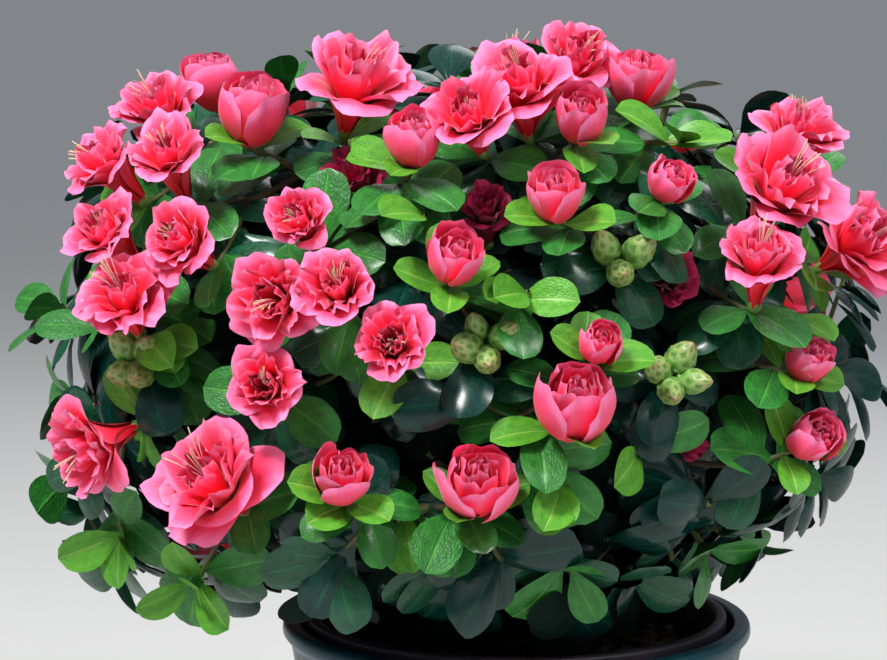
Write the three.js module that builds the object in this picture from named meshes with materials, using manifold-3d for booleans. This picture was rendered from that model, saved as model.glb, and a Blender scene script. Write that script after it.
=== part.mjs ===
// An azalea in flower in its pots: cover pot, grower's pot, soil, one short stem, a bough to each
// mass of foliage, and the masses themselves, whose twigs carry leaves, flowers and buds.
// Millimetres, +Z up. The origin is the middle of the cover pot's flat underside, and the plant
// shows its best side to -Y.
import * as THREE from "three";
import { mergeVertices } from "three/addons/utils/BufferGeometryUtils.js";
import Module from "manifold-3d";

const wasm = await Module();
wasm.setup();

const { Quaternion, Vector3 } = THREE;
const UP = new Vector3(0, 0, 1);
const TURN = 2 * Math.PI;
const GOLDEN_ANGLE = Math.PI * (3 - Math.sqrt(5));
const degrees = THREE.MathUtils.degToRad;

// Pots and soil
const GAP = 0.3;
const COVER_HEIGHT = 163;
const COVER_RIM = 116;
const COVER_FOOT = 84;
const COVER_FOOT_ROUNDING = 2;
const COVER_KNEE_HEIGHT = 0.42 * COVER_HEIGHT;
const COVER_KNEE = COVER_FOOT + 12;
const COVER_WALL = 5;
const COVER_LIP = 4;
const COVER_LIP_HEIGHT = 9.6;
const COVER_FLOOR = 6;
const INNER_POT_TOP = 166;
const INNER_POT_RIM = 104;
const INNER_POT_FOOT = 74;
const INNER_POT_WALL = 2.6;
const INNER_POT_BAND = 12;
const INNER_POT_STEP = 3;
const SOIL_TOP = 151;
const SOIL_CROWN = 60;
const SOIL_DISH = 5;
const POT_SIDES = 36;

// Stem and boughs
const STEM_FOOT = new Vector3(2, 0, SOIL_TOP + GAP);
const STEM_MIDDLE = new Vector3(-3, 3, 197);
const STEM_FORK = new Vector3(-9, 2, 238);
const STEM_RADIUS = 11.5;
const STEM_FORK_RADIUS = 7.5;
const FLARE = 0.55;
const FLARE_HEIGHT = 0.22;
const FLARE_LOBES = 5;
const FLARE_LOBE_DEPTH = 0.22;
const STEM_SIDES = 15;
const STEM_STEPS = 6;
const BOUGH_SIDES = 5;
const BOUGH_RADIUS = 4.2;
const BOUGH_TIP_RADIUS = 2.8;
const BOUGH_STEPS = 5;
const BOUGH_LIFT = 0.45;
const BOUGH_SLACK = 0.4;

// The crown is a broad dome, fuller above its middle than below, where its left side hangs lower
const CROWN_MIDDLE = new Vector3(-28, 5, 285);
const CROWN_HALF_WIDTH = 212;
const CROWN_HALF_DEPTH = 192;
const CROWN_RISE = 160;
const CROWN_DROP = 125;
const FULLNESS_ABOVE = 2.8;
const FULLNESS_BELOW = 2.2;
const FULLNESS_LEFT = 2.2;
const HEART_SHARE = 0.46;
const OUTER_SHARE = 1.1;

// Rings of masses round the crown's middle, and the parts of the stem that their boughs fork from
const RINGS = [
  { name: "top", count: 1, bearing: 0, elevation: 90, forks: [1] },
  { name: "upper", count: 6, bearing: -60, elevation: 42, forks: [0.7, 0.85] },
  { name: "lower", count: 8, bearing: -90, elevation: -6, forks: [0.28, 0.48] },
];

// Shoots on the side shown, seen from EYE against the upright plane through the pot's axis:
// centimetres to the right of the axis, centimetres above the foot, and the width seen there.
const EYE = new Vector3(-36, -1100, 413);
const SEEN = {
  open: [
    [-7.8, 42.7, 6], [-17.5, 41.5, 4.3], [-20.2, 38.7, 4.4], [-17, 39, 4], [-20.2, 35.4, 4.2],
    [-16.6, 35, 4.2], [-19.3, 32.3, 5.2], [-2.3, 41, 4.6], [0.2, 42.5, 5.8], [2.9, 43.8, 4.2],
    [13.7, 40.3, 4.6], [12.9, 37.5, 6], [17.1, 35, 5.6], [11.9, 34.2, 4.4], [-11.9, 32, 4.8],
    [-8.8, 32.6, 4], [-6.1, 29.9, 4], [-12.4, 27.8, 4], [-21.2, 24.6, 5.2], [-15.1, 23, 7],
    [-10.7, 36, 3.4],
  ],
  half: [
    [-14.9, 43.1, 3.1], [-12.9, 41.7, 3.8], [-5, 40.2, 3], [3.1, 41.2, 2.9], [5.9, 43.2, 3.2],
    [1.8, 37.5, 3], [7.6, 38, 2.4], [-8.6, 23.5, 3], [-1.9, 23.2, 4], [2.9, 27.2, 4.2],
    [14.8, 25.3, 2.8], [14.6, 29.2, 2.5], [-3, 34.3, 3], [4.1, 30, 2.3],
  ],
  shaded: [[-1.5, 36.6, 2.8], [7.5, 33.1, 3.2], [8.5, 25, 2], [-8, 38.3, 3.4]],
  buds: [[-20, 29.5, 3], [-1.5, 30.5, 3], [5.6, 35.1, 3], [8.5, 28.8, 3.2]],
  leafy: [
    [-4.5, 37.2, 0], [0.8, 33.2, 0], [-1.6, 27, 0], [2.8, 22.4, 0], [8.6, 41, 0], [14.6, 32, 0],
    [-22.6, 23.4, 0], [-20.5, 19, 0], [-17, 16.5, 0], [-6.2, 20.4, 0], [10.4, 21, 0], [-0.6, 18, 0],
    [-9.4, 18, 0],
  ],
};
const SIGHT_START = 0.76;
const SIGHT_END = 1.1;
const SIGHT_STEP = 0.002;
const SHADED_SHARE = 0.82;
const FACE_TO_VIEWER = 0.55;
const FACE_TO_LIGHT = 0.25;

// The rest of the dome is filled at an even spacing
const FILL_TRIES = 600;
const FILL_LOWEST = -38;
const FILL_SPACING = 16;
const FILL_SHOWN_SPACING = 15.6;
const SHOWN_LEAST = -0.44;
const OPEN_CHANCE = 0.6;
const HALF_CHANCE = 0.78;
const BUDS_CHANCE = 0.84;
const OPEN_WIDTH = 48;
const OPEN_SPREAD = 14;
const HALF_WIDTH = 30;
const SEED = 41;

// Twigs, leaves and flowers
const TWIG_SIDES = 3;
const TWIG_RADIUS = 2.6;
const TWIG_TIP_RADIUS = 1.5;
const TWIG_TAPER_RUN = 150;
const TWIG_JOIN = 2;
const HUB_LENGTH = 16;
const RUN_COST = 0.3;
const SWAY = 0.14;
const SWAY_MIDDLE = new Vector3(0.5, 0.5, 0.8);
const LEAF_LENGTH = 50;
const LEAF_BREADTH = 0.53;
const LEAF_THICKNESS = 1.6;
const LEAF_WIDEST = 0.56;
const LEAF_DROOP = 0.14;
const LEAF_ARCH = 0.3;
const LEAF_SINK = 1;
const LEAVES = { open: 2, half: 2, shaded: 1, buds: 3, leafy: 4 };
const LEAF_STALK = 0.4;
const LEAF_FIRST = 1.5;
const LEAF_STEP = 4;
const LEAF_TRIES = 6;
const LEAF_RESPIN = 0.7;
const LEAF_SPIN_SPREAD = 0.4;
const LEAFY_TILT = [38, 7];
const FLOWER_TILT = [60, 10];
const LEAFY_DEPTH = 18;
const FLOWER_DEPTH = 30;
const FLOWER_SIZES = [1, 0.9, 0.8, 0.7, 0.6];
const PETALS = 5;
const TUBE_SINK = 2;
const THROAT_DEPTH = 0.42;
const THROAT_RIM = [0.34, -0.22];
const NOTCH = 0.72;
const SHOULDERS = [0.27, 0.73];
const PETAL_RISE = 2;
const RUFFLES = [-0.04, 0.09];
const FURLED_RINGS = [
  [0.9, -0.62],
  [1, -0.18],
  [0.66, 0.16],
];
const FURLED_MOUTH = -0.1;
const BUD_LENGTH = 15;
const BUD_GIRTH = 0.22;
const BUD_LEAN = 0.5;
const CLEARANCE = 0.5;
const POT_CLEARANCE = 3;
const BOUGH_CLEARANCE = 5;
const WELD = 1e-3;
const SLIVERS = [0.08, 0.06, 0.1, 0.04, 0.12];

const POT_COLOURS = {
  cover_pot: [0x12353d, 0.45],
  grower_pot: [0x1c1820, 0.6],
  soil: [0x2b1d14, 0.95],
};
const BARK = [0x6b4f38, 0.85];
const FOLIAGE = [0x3f7a35, 0.5];

// A seeded draw of numbers from 0 to 1, the same on every run.
function seeded(seed) {
  let state = seed >>> 0;
  return () => {
    state = (state + 0x6d2b79f5) >>> 0;
    let mixed = Math.imul(state ^ (state >>> 15), state | 1);
    mixed ^= mixed + Math.imul(mixed ^ (mixed >>> 7), mixed | 61);
    return ((mixed ^ (mixed >>> 14)) >>> 0) / 4294967296;
  };
}

function along(bearing, elevation) {
  const flat = Math.cos(degrees(elevation));
  return new Vector3(
    flat * Math.cos(degrees(bearing)),
    flat * Math.sin(degrees(bearing)),
    Math.sin(degrees(elevation)),
  );
}

// How far the crown reaches from its middle in a direction.
function reach(direction) {
  const plan = Math.hypot(direction.x / CROWN_HALF_WIDTH, direction.y / CROWN_HALF_DEPTH);
  const above = direction.z > 0;
  const height = Math.abs(direction.z) / (above ? CROWN_RISE : CROWN_DROP);
  const hanging = FULLNESS_BELOW + FULLNESS_LEFT * Math.max(0, -direction.x);
  const fullness = above ? FULLNESS_ABOVE : hanging;
  return Math.pow(plan ** fullness + height ** fullness, -1 / fullness);
}

// Where a point lies between the crown's middle, 0, and its surface, 1.
function crownShare(point) {
  const out = point.clone().sub(CROWN_MIDDLE);
  const distance = out.length();
  return distance / reach(out.divideScalar(distance));
}

function crownPoint(direction, share) {
  return CROWN_MIDDLE.clone().addScaledVector(direction, share * reach(direction));
}

// The dome's outward direction at a point.
function crownNormal(point) {
  const out = point.clone().sub(CROWN_MIDDLE);
  const height = out.z > 0 ? CROWN_RISE : CROWN_DROP;
  out.x /= CROWN_HALF_WIDTH ** 2;
  out.y /= CROWN_HALF_DEPTH ** 2;
  out.z /= height ** 2;
  return out.normalize();
}

// How much of the way from the eye to a place on the upright plane the line of sight goes before it
// meets the dome, or passes nearest to it.
function sighted(aim, wanted) {
  let nearest = SIGHT_START;
  let least = Infinity;
  for (let part = SIGHT_START; part < SIGHT_END; part += SIGHT_STEP) {
    const share = crownShare(EYE.clone().addScaledVector(aim, part));
    if (share < least) {
      nearest = part;
      least = share;
    }
    if (share <= wanted) break;
  }
  return nearest;
}

function makeShoot(kind, face, width, shown) {
  const axis = crownNormal(face);
  if (shown) {
    axis.addScaledVector(EYE.clone().sub(face).normalize(), FACE_TO_VIEWER);
  }
  axis.addScaledVector(UP, FACE_TO_LIGHT).normalize();
  const depth = kind === "leafy" ? LEAFY_DEPTH : FLOWER_DEPTH;
  const base = face.clone().addScaledVector(axis, -depth);
  return { kind, face, axis, base, width };
}

// A shoot that is seen at a place: nearer to the eye than the plane, it is smaller than it looks.
function seenShoot(kind, [right, up, width]) {
  const aim = new Vector3(10 * right, 0, 10 * up).sub(EYE);
  const part = sighted(aim, kind === "shaded" ? SHADED_SHARE : 1);
  return makeShoot(kind, EYE.clone().addScaledVector(aim, part), 10 * width * part, true);
}

function fillKind(chance) {
  if (chance < OPEN_CHANCE) return "open";
  if (chance < HALF_CHANCE) return "half";
  return chance < BUDS_CHANCE ? "buds" : "leafy";
}

function makeShoots() {
  const shoots = [];
  for (const [kind, places] of Object.entries(SEEN)) {
    for (const place of places) shoots.push(seenShoot(kind, place));
  }
  const draw = seeded(SEED);
  const lowest = Math.sin(degrees(FILL_LOWEST));
  for (let i = 0; i < FILL_TRIES; i++) {
    const sine = 1 - ((i + 0.5) / FILL_TRIES) * (1 - lowest);
    const bearing = i * GOLDEN_ANGLE;
    const flat = Math.sqrt(1 - sine * sine);
    const out = new Vector3(flat * Math.cos(bearing), flat * Math.sin(bearing), sine);
    const face = crownPoint(out, 1);
    const shown = crownNormal(face).dot(EYE.clone().sub(face).normalize()) > SHOWN_LEAST;
    const spacing = Math.cos(degrees(shown ? FILL_SHOWN_SPACING : FILL_SPACING));
    const chance = draw();
    const crowded = shoots.some(
      (shoot) => shoot.face.clone().sub(CROWN_MIDDLE).normalize().dot(out) > spacing,
    );
    if (crowded) continue;
    const kind = shown ? "leafy" : fillKind(chance);
    const width = kind === "half" ? HALF_WIDTH : OPEN_WIDTH + OPEN_SPREAD * chance;
    shoots.push(makeShoot(kind, face, width, false));
  }
  return shoots;
}

// One closed surface from corners and faces, as a solid.
function solid(corners, faces) {
  const geometry = new THREE.BufferGeometry();
  const positions = corners.flatMap((corner) => corner.toArray());
  geometry.setAttribute("position", new THREE.Float32BufferAttribute(positions, 3));
  geometry.setIndex(faces.flat());
  return solidOf(geometry);
}

function solidOf(geometry) {
  geometry.deleteAttribute("normal");
  geometry.deleteAttribute("uv");
  const merged = mergeVertices(geometry, WELD);
  return new wasm.Manifold(
    new wasm.Mesh({
      numProp: 3,
      vertProperties: merged.attributes.position.array,
      triVerts: new Uint32Array(merged.index.array),
    }),
  );
}

function surfaceOf(made) {
  const mesh = made.getMesh();
  const geometry = new THREE.BufferGeometry();
  geometry.setAttribute("position", new THREE.BufferAttribute(mesh.vertProperties, 3));
  geometry.setIndex(new THREE.BufferAttribute(mesh.triVerts, 1));
  return geometry;
}

function largestBody(made) {
  return made.decompose().reduce((most, body) => (body.volume() > most.volume() ? body : most));
}

// Whether a welded surface has an edge that more than two faces share.
function isPinched(geometry) {
  const corners = mergeVertices(geometry, WELD).index.array;
  const edges = new Set();
  for (let i = 0; i < corners.length; i++) {
    const next = i % 3 === 2 ? i - 2 : i + 1;
    edges.add(`${corners[i]} ${corners[next]}`);
  }
  return edges.size < corners.length;
}

// The surface of a fused solid without its slivers and loose scraps. Welding can part or pinch it
// where it only just holds together, so each size of sliver is tried until it comes out clean.
function tidySurface(made) {
  let surface;
  for (const sliver of SLIVERS) {
    let body = made;
    for (let round = 0; round < 3; round++) {
      body = largestBody(solidOf(surfaceOf(largestBody(body.simplify(sliver)))));
    }
    surface = surfaceOf(body);
    if (!isPinched(surface)) break;
  }
  surface.computeVertexNormals();
  return surface;
}

// A tapering limb along a curve; shape gives its radius at a part of the way and an angle.
function limb(curve, shape, sides, steps) {
  const frames = curve.computeFrenetFrames(steps);
  const corners = [];
  const faces = [];
  for (let step = 0; step <= steps; step++) {
    const part = step / steps;
    const middle = curve.getPointAt(part);
    for (let side = 0; side < sides; side++) {
      const angle = (TURN * side) / sides;
      const radius = shape(part, angle);
      corners.push(
        middle
          .clone()
          .addScaledVector(frames.normals[step], radius * Math.cos(angle))
          .addScaledVector(frames.binormals[step], radius * Math.sin(angle)),
      );
    }
  }
  for (let step = 0; step < steps; step++) {
    for (let side = 0; side < sides; side++) {
      const here = step * sides + side;
      const next = step * sides + ((side + 1) % sides);
      faces.push([here, next, next + sides], [here, next + sides, here + sides]);
    }
  }
  const last = steps * sides;
  for (let side = 1; side < sides - 1; side++) {
    faces.push([0, side + 1, side], [last, last + side, last + side + 1]);
  }
  return solid(corners, faces);
}

// A curve that passes through a bend half-way.
function bentThrough(from, bend, to) {
  const pull = bend.clone().multiplyScalar(2).addScaledVector(from, -0.5).addScaledVector(to, -0.5);
  return new THREE.QuadraticBezierCurve3(from, pull, to);
}

function lathe(profile) {
  const points = profile.map(([radius, height]) => new THREE.Vector2(radius, height));
  const turned = new THREE.LatheGeometry(points, POT_SIDES);
  turned.rotateX(Math.PI / 2);
  return solidOf(turned);
}

function makeCoverPot() {
  const rimInside = COVER_RIM - COVER_LIP - COVER_WALL;
  return lathe([
    [0, 0],
    [COVER_FOOT - COVER_FOOT_ROUNDING, 0],
    [COVER_FOOT, COVER_FOOT_ROUNDING],
    [COVER_KNEE, COVER_KNEE_HEIGHT],
    [COVER_RIM - COVER_LIP, COVER_HEIGHT - COVER_LIP_HEIGHT],
    [COVER_RIM, COVER_HEIGHT - COVER_LIP_HEIGHT + COVER_LIP],
    [COVER_RIM - COVER_LIP / 2, COVER_HEIGHT],
    [rimInside + COVER_LIP / 4, COVER_HEIGHT],
    [rimInside, COVER_HEIGHT - COVER_LIP / 2],
    [COVER_KNEE - COVER_WALL, COVER_KNEE_HEIGHT],
    [COVER_FOOT - COVER_WALL, COVER_FLOOR],
    [0, COVER_FLOOR],
  ]);
}

// The inner pot's outer radius at a height below its thicker rim band.
function innerPotRadius(height) {
  const foot = COVER_FLOOR + GAP;
  const part = (height - foot) / (INNER_POT_TOP - foot);
  return INNER_POT_FOOT + part * (INNER_POT_RIM - INNER_POT_STEP - INNER_POT_FOOT);
}

function makeInnerPot() {
  const foot = COVER_FLOOR + GAP;
  const floor = foot + INNER_POT_WALL;
  const band = INNER_POT_TOP - INNER_POT_BAND;
  return lathe([
    [0, foot],
    [INNER_POT_FOOT, foot],
    [innerPotRadius(band), band],
    [INNER_POT_RIM, band],
    [INNER_POT_RIM, INNER_POT_TOP],
    [INNER_POT_RIM - INNER_POT_WALL - INNER_POT_STEP, INNER_POT_TOP],
    [innerPotRadius(SOIL_TOP) - INNER_POT_WALL, SOIL_TOP],
    [innerPotRadius(floor) - INNER_POT_WALL, floor],
    [0, floor],
  ]);
}

function makeSoil() {
  const floor = COVER_FLOOR + 2 * GAP + INNER_POT_WALL;
  const edge = SOIL_TOP - SOIL_DISH;
  return lathe([
    [0, floor],
    [innerPotRadius(floor) - INNER_POT_WALL - GAP, floor],
    [innerPotRadius(edge) - INNER_POT_WALL - GAP, edge],
    [SOIL_CROWN, SOIL_TOP],
    [0, SOIL_TOP],
  ]);
}

const stemCurve = new THREE.QuadraticBezierCurve3(STEM_FOOT, STEM_MIDDLE, STEM_FORK);

// The stem's radius, with the flare of its roots at the foot; extra fattens it to cut its boughs.
function makeStem(extra) {
  const shape = (part, angle) => {
    const flare = Math.max(0, 1 - part / FLARE_HEIGHT) ** 2;
    const lobes = 1 + FLARE_LOBE_DEPTH * flare * Math.cos(FLARE_LOBES * angle);
    const trunk = STEM_RADIUS + part * (STEM_FORK_RADIUS - STEM_RADIUS);
    return trunk * (1 + FLARE * flare) * lobes + extra;
  };
  const flatFoot = new THREE.BoxGeometry(COVER_RIM, COVER_RIM, SOIL_TOP);
  flatFoot.translate(0, 0, STEM_FOOT.z - SOIL_TOP / 2);
  return limb(stemCurve, shape, STEM_SIDES, STEM_STEPS).subtract(solidOf(flatFoot));
}

// Each mass has a foot, where its bough's tip meets its own stem.
function makeMasses() {
  const masses = [];
  for (const { name, count, bearing, elevation, forks } of RINGS) {
    for (let i = 0; i < count; i++) {
      const out = along(bearing + (360 / count) * i, elevation);
      const foot = crownPoint(out, HEART_SHARE);
      const from = stemCurve.getPointAt(forks[i % forks.length]);
      const lift = new Vector3(foot.x, foot.y, from.z).lerp(foot, BOUGH_LIFT);
      const curve = new THREE.QuadraticBezierCurve3(from, lift.lerp(from, BOUGH_SLACK), foot);
      const label = count > 1 ? `${name}_${i + 1}` : name;
      masses.push({ label, out, foot, curve, index: masses.length });
    }
  }
  return masses;
}

function makeBough({ curve }, stemCutter) {
  const shape = (part) => BOUGH_RADIUS + part * (BOUGH_TIP_RADIUS - BOUGH_RADIUS);
  return limb(curve, shape, BOUGH_SIDES, BOUGH_STEPS).subtract(stemCutter);
}

const shoots = makeShoots();
const masses = makeMasses();
for (const shoot of shoots) {
  const out = shoot.face.clone().sub(CROWN_MIDDLE).normalize();
  shoot.mass = masses.reduce((best, mass) => (mass.out.dot(out) > best.out.dot(out) ? mass : best));
}

// Whether a point is nearer to its own mass's shoots than to any other mass's, and clear of the
// boughs and the pots.
function inOwnSpace(point, mass) {
  let own = Infinity;
  let other = Infinity;
  for (const shoot of shoots) {
    const distance = shoot.face.distanceTo(point);
    if (shoot.mass === mass) own = Math.min(own, distance);
    else other = Math.min(other, distance);
  }
  if (other - own < 2 * CLEARANCE) return false;
  if (crownShare(point) > OUTER_SHARE) return false;
  const overPots = Math.hypot(point.x, point.y) < COVER_RIM + POT_CLEARANCE;
  return !(overPots && point.z < INNER_POT_TOP + POT_CLEARANCE) && clearOfBoughs(point);
}

const boughPoints = masses.flatMap(({ curve }) => curve.getSpacedPoints(12).slice(0, -1));

function clearOfBoughs(point) {
  const nearest = BOUGH_RADIUS + BOUGH_CLEARANCE;
  return boughPoints.every((place) => place.distanceTo(point) > nearest);
}

function twigRadius(run) {
  const part = Math.min(1, run / TWIG_TAPER_RUN);
  return TWIG_RADIUS + part * (TWIG_TIP_RADIUS - TWIG_RADIUS);
}

// The seeded branching rule: from the hub, each shoot in turn is joined to the nearest fork that has
// grown already, with a new fork half-way along.
function growTwigs(mass) {
  const draw = seeded(SEED + 100 + mass.index);
  const heading = mass.curve.getTangentAt(1);
  const start = mass.foot.clone().addScaledVector(heading, GAP);
  const hub = start.clone().addScaledVector(heading, HUB_LENGTH);
  const forks = [{ at: hub, run: HUB_LENGTH }];
  const past = hub.clone().addScaledVector(heading, TWIG_JOIN);
  const twigs = [{ curve: new THREE.LineCurve3(start, past), run: 0, end: HUB_LENGTH }];
  const order = mass.shoots.toSorted(
    (one, two) => one.base.distanceTo(hub) - two.base.distanceTo(hub),
  );
  for (const shoot of order) {
    const cost = (fork) => fork.at.distanceTo(shoot.base) + RUN_COST * fork.run;
    const fork = forks.reduce((best, other) => (cost(other) < cost(best) ? other : best));
    const length = fork.at.distanceTo(shoot.base);
    const bend = fork.at.clone().lerp(shoot.base, 0.5);
    const sway = new Vector3(draw(), draw(), draw()).sub(SWAY_MIDDLE);
    bend.addScaledVector(sway, SWAY * length);
    shoot.twig = bentThrough(fork.at, bend, shoot.base);
    twigs.push({ curve: shoot.twig, run: fork.run, end: fork.run + length, shoot });
    forks.push({ at: bend, run: fork.run + length / 2 });
  }
  return twigs;
}

function makeTwig({ curve, run, end, shoot }) {
  const shape = (part) => twigRadius(run + part * (end - run));
  return limb(curve, shape, TWIG_SIDES, shoot ? 2 : 1);
}

// A leaf of eight faces: a four-cornered outline, raised at the middle of its upper and under side.
function leafCorners(root, heading, facing, length) {
  const side = new Vector3().crossVectors(heading, facing).normalize();
  const top = new Vector3().crossVectors(side, heading);
  const middle = root.clone().addScaledVector(heading, LEAF_WIDEST * length);
  middle.addScaledVector(top, LEAF_ARCH * LEAF_DROOP * length);
  const half = 0.5 * LEAF_BREADTH * length;
  return [
    root,
    middle.clone().addScaledVector(side, half),
    root.clone().addScaledVector(heading, length).addScaledVector(top, -LEAF_DROOP * length),
    middle.clone().addScaledVector(side, -half),
    middle.clone().addScaledVector(top, LEAF_THICKNESS / 2 - LEAF_SINK),
    middle.clone().addScaledVector(top, -LEAF_THICKNESS / 2 - LEAF_SINK),
  ];
}

function makeLeaf(corners) {
  const faces = [];
  for (let i = 0; i < 4; i++) {
    const next = (i + 1) % 4;
    faces.push([i, next, 4], [next, i, 5]);
  }
  return solid(corners, faces);
}

function leafFits(corners, mass) {
  const outline = corners.slice(1, 4);
  const between = outline.map((corner) => corner.clone().lerp(corners[4], 0.5));
  return [...outline, ...between].every((point) => inOwnSpace(point, mass));
}

// Whether a solid touches any of the pieces that a mass holds already.
function touches(made, pieces) {
  const { min, max } = made.boundingBox();
  const near = pieces.filter(({ box }) =>
    [0, 1, 2].every((i) => min[i] < box.max[i] && max[i] > box.min[i]),
  );
  return near.some((piece) => !made.intersect(piece.made).isEmpty());
}

function keep(made, pieces) {
  pieces.push({ made, box: made.boundingBox() });
}

// A whorl of leaves below a shoot's tip. A leaf that would leave its mass's space, or whose blade
// would touch another piece, is tried at another angle, and then skipped.
function addWhorl(shoot, index, pieces) {
  const draw = seeded(SEED + 1000 + index);
  const turn = new Quaternion().setFromUnitVectors(UP, shoot.axis);
  const count = LEAVES[shoot.kind];
  for (let i = 0; i < count; i++) {
    const length = LEAF_LENGTH * (0.78 + 0.34 * draw());
    const root = shoot.twig.getPointAt(1 - (LEAF_FIRST + i * LEAF_STEP) / shoot.twig.getLength());
    for (let attempt = 0; attempt < LEAF_TRIES; attempt++) {
      const spin = i * GOLDEN_ANGLE + index + attempt * LEAF_RESPIN + LEAF_SPIN_SPREAD * draw();
      const [least, step] = shoot.kind === "leafy" ? LEAFY_TILT : FLOWER_TILT;
      const tilt = degrees(least + step * (shoot.kind === "leafy" ? i : draw()));
      const heading = new Vector3(
        Math.sin(tilt) * Math.cos(spin),
        Math.sin(tilt) * Math.sin(spin),
        Math.cos(tilt),
      ).applyQuaternion(turn);
      const corners = leafCorners(root, heading, shoot.axis, length);
      if (!leafFits(corners, shoot.mass)) continue;
      const bladeStart = root.clone().lerp(corners[4], LEAF_STALK);
      if (touches(makeLeaf([bladeStart, ...corners.slice(1)]), pieces)) continue;
      keep(makeLeaf(corners), pieces);
      break;
    }
  }
}

// An open flower: a throat inside and a tube outside, joined at a rim of five two-shouldered petals.
function openFlowerCorners(radius, spin) {
  const at = (angle, across, height) =>
    new Vector3(across * Math.cos(angle), across * Math.sin(angle), height);
  const corners = [
    at(0, 0, -THROAT_DEPTH * FLOWER_DEPTH),
    at(0, 0, -FLOWER_DEPTH - TUBE_SINK),
  ];
  for (let petal = 0; petal < PETALS; petal++) {
    const [left, right] = SHOULDERS.map((part) => spin + (TURN * (petal + part)) / PETALS);
    const notch = spin + (TURN * petal) / PETALS;
    const ruffle = RUFFLES[petal % RUFFLES.length] * radius;
    corners.push(
      at(notch, THROAT_RIM[0] * radius, THROAT_RIM[1] * FLOWER_DEPTH),
      at(notch, NOTCH * radius, 0),
      at(left, radius, PETAL_RISE + ruffle),
      at(right, radius, PETAL_RISE - ruffle),
    );
  }
  return corners;
}

function openFlowerFaces() {
  const faces = [];
  for (let petal = 0; petal < PETALS; petal++) {
    const [inner, notch, left, right] = [0, 1, 2, 3].map((i) => 2 + 4 * petal + i);
    const nextInner = 2 + 4 * ((petal + 1) % PETALS);
    const nextNotch = nextInner + 1;
    faces.push(
      [0, inner, nextInner],
      [inner, notch, left],
      [inner, left, nextInner],
      [nextInner, left, right],
      [nextInner, right, nextNotch],
      [1, left, notch],
      [1, right, left],
      [1, nextNotch, right],
    );
  }
  return faces;
}

// A half-open flower: an egg of furled petals with a hollow at its mouth.
function halfOpenFlower(radius) {
  const corners = [new Vector3(0, 0, -FLOWER_DEPTH - TUBE_SINK)];
  const faces = [];
  FURLED_RINGS.forEach(([across, height], ring) => {
    for (let petal = 0; petal < PETALS; petal++) {
      const angle = (TURN * (petal + ring / 2)) / PETALS;
      const far = across * radius;
      const corner = [far * Math.cos(angle), far * Math.sin(angle), height * FLOWER_DEPTH];
      corners.push(new Vector3(...corner));
    }
  });
  const mouth = corners.push(new Vector3(0, 0, FURLED_MOUTH * FLOWER_DEPTH)) - 1;
  const high = mouth - PETALS;
  for (let petal = 0; petal < PETALS; petal++) {
    const next = (petal + 1) % PETALS;
    faces.push([0, 1 + next, 1 + petal], [high + petal, high + next, mouth]);
    for (let low = 1; low < high; low += PETALS) {
      faces.push([low + petal, low + next, low + PETALS + petal]);
      faces.push([low + next, low + PETALS + next, low + PETALS + petal]);
    }
  }
  return solid(corners, faces);
}

// Three plump green buds on one tip.
function budCluster(width) {
  const buds = [0, 1, 2].map((i) => {
    const turn = (TURN * i) / 3;
    const lean = new Vector3(BUD_LEAN * Math.cos(turn), BUD_LEAN * Math.sin(turn), 1);
    const bud = new THREE.OctahedronGeometry(1);
    bud.scale(BUD_GIRTH * width, BUD_GIRTH * width, BUD_LENGTH / 2);
    bud.translate(0, 0, BUD_LENGTH / 2 - TUBE_SINK);
    bud.applyQuaternion(new Quaternion().setFromUnitVectors(UP, lean.normalize()));
    bud.translate(0, 0, -FLOWER_DEPTH);
    return solidOf(bud);
  });
  return buds.reduce((all, bud) => all.add(bud));
}

function placed(made, shoot) {
  const turn = new Quaternion().setFromUnitVectors(UP, shoot.axis);
  const placing = new THREE.Matrix4().compose(shoot.face, turn, new Vector3(1, 1, 1));
  return made.transform(placing.toArray());
}

function makeFlower(shoot, index, size) {
  if (shoot.kind === "buds") return budCluster(shoot.width);
  if (shoot.kind === "half") return halfOpenFlower((size * shoot.width) / 2);
  return solid(openFlowerCorners((size * shoot.width) / 2, index), openFlowerFaces());
}

// A flower is drawn in where its neighbours press on it.
function addFlower(shoot, index, pieces) {
  if (shoot.kind === "leafy") return;
  const others = pieces.filter((piece) => piece.shoot !== shoot);
  for (const size of FLOWER_SIZES) {
    const made = placed(makeFlower(shoot, index, size), shoot);
    const { vertProperties } = made.getMesh();
    const corners = [];
    for (let i = 0; i < vertProperties.length; i += 3) {
      corners.push(new Vector3().fromArray(vertProperties, i));
    }
    if (!corners.every((corner) => inOwnSpace(corner, shoot.mass))) continue;
    if (touches(made, others) && size > FLOWER_SIZES.at(-1)) continue;
    keep(made, pieces);
    return;
  }
}

function makeMass(mass) {
  const pieces = [];
  for (const twig of growTwigs(mass)) {
    keep(makeTwig(twig), pieces);
    pieces.at(-1).shoot = twig.shoot;
  }
  for (const shoot of mass.shoots) addFlower(shoot, shoots.indexOf(shoot), pieces);
  for (const shoot of mass.shoots) addWhorl(shoot, shoots.indexOf(shoot), pieces);
  return pieces.map(({ made }) => made).reduce((all, piece) => all.add(piece));
}

const azalea = new THREE.Group();

function addNode(name, made, [colour, roughness]) {
  const material = new THREE.MeshStandardMaterial({ color: colour, roughness, metalness: 0 });
  const mesh = new THREE.Mesh(tidySurface(made), material);
  mesh.name = name;
  azalea.add(mesh);
}

addNode("cover_pot", makeCoverPot(), POT_COLOURS.cover_pot);
addNode("grower_pot", makeInnerPot(), POT_COLOURS.grower_pot);
addNode("soil", makeSoil(), POT_COLOURS.soil);
addNode("stem", makeStem(0), BARK);

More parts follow.
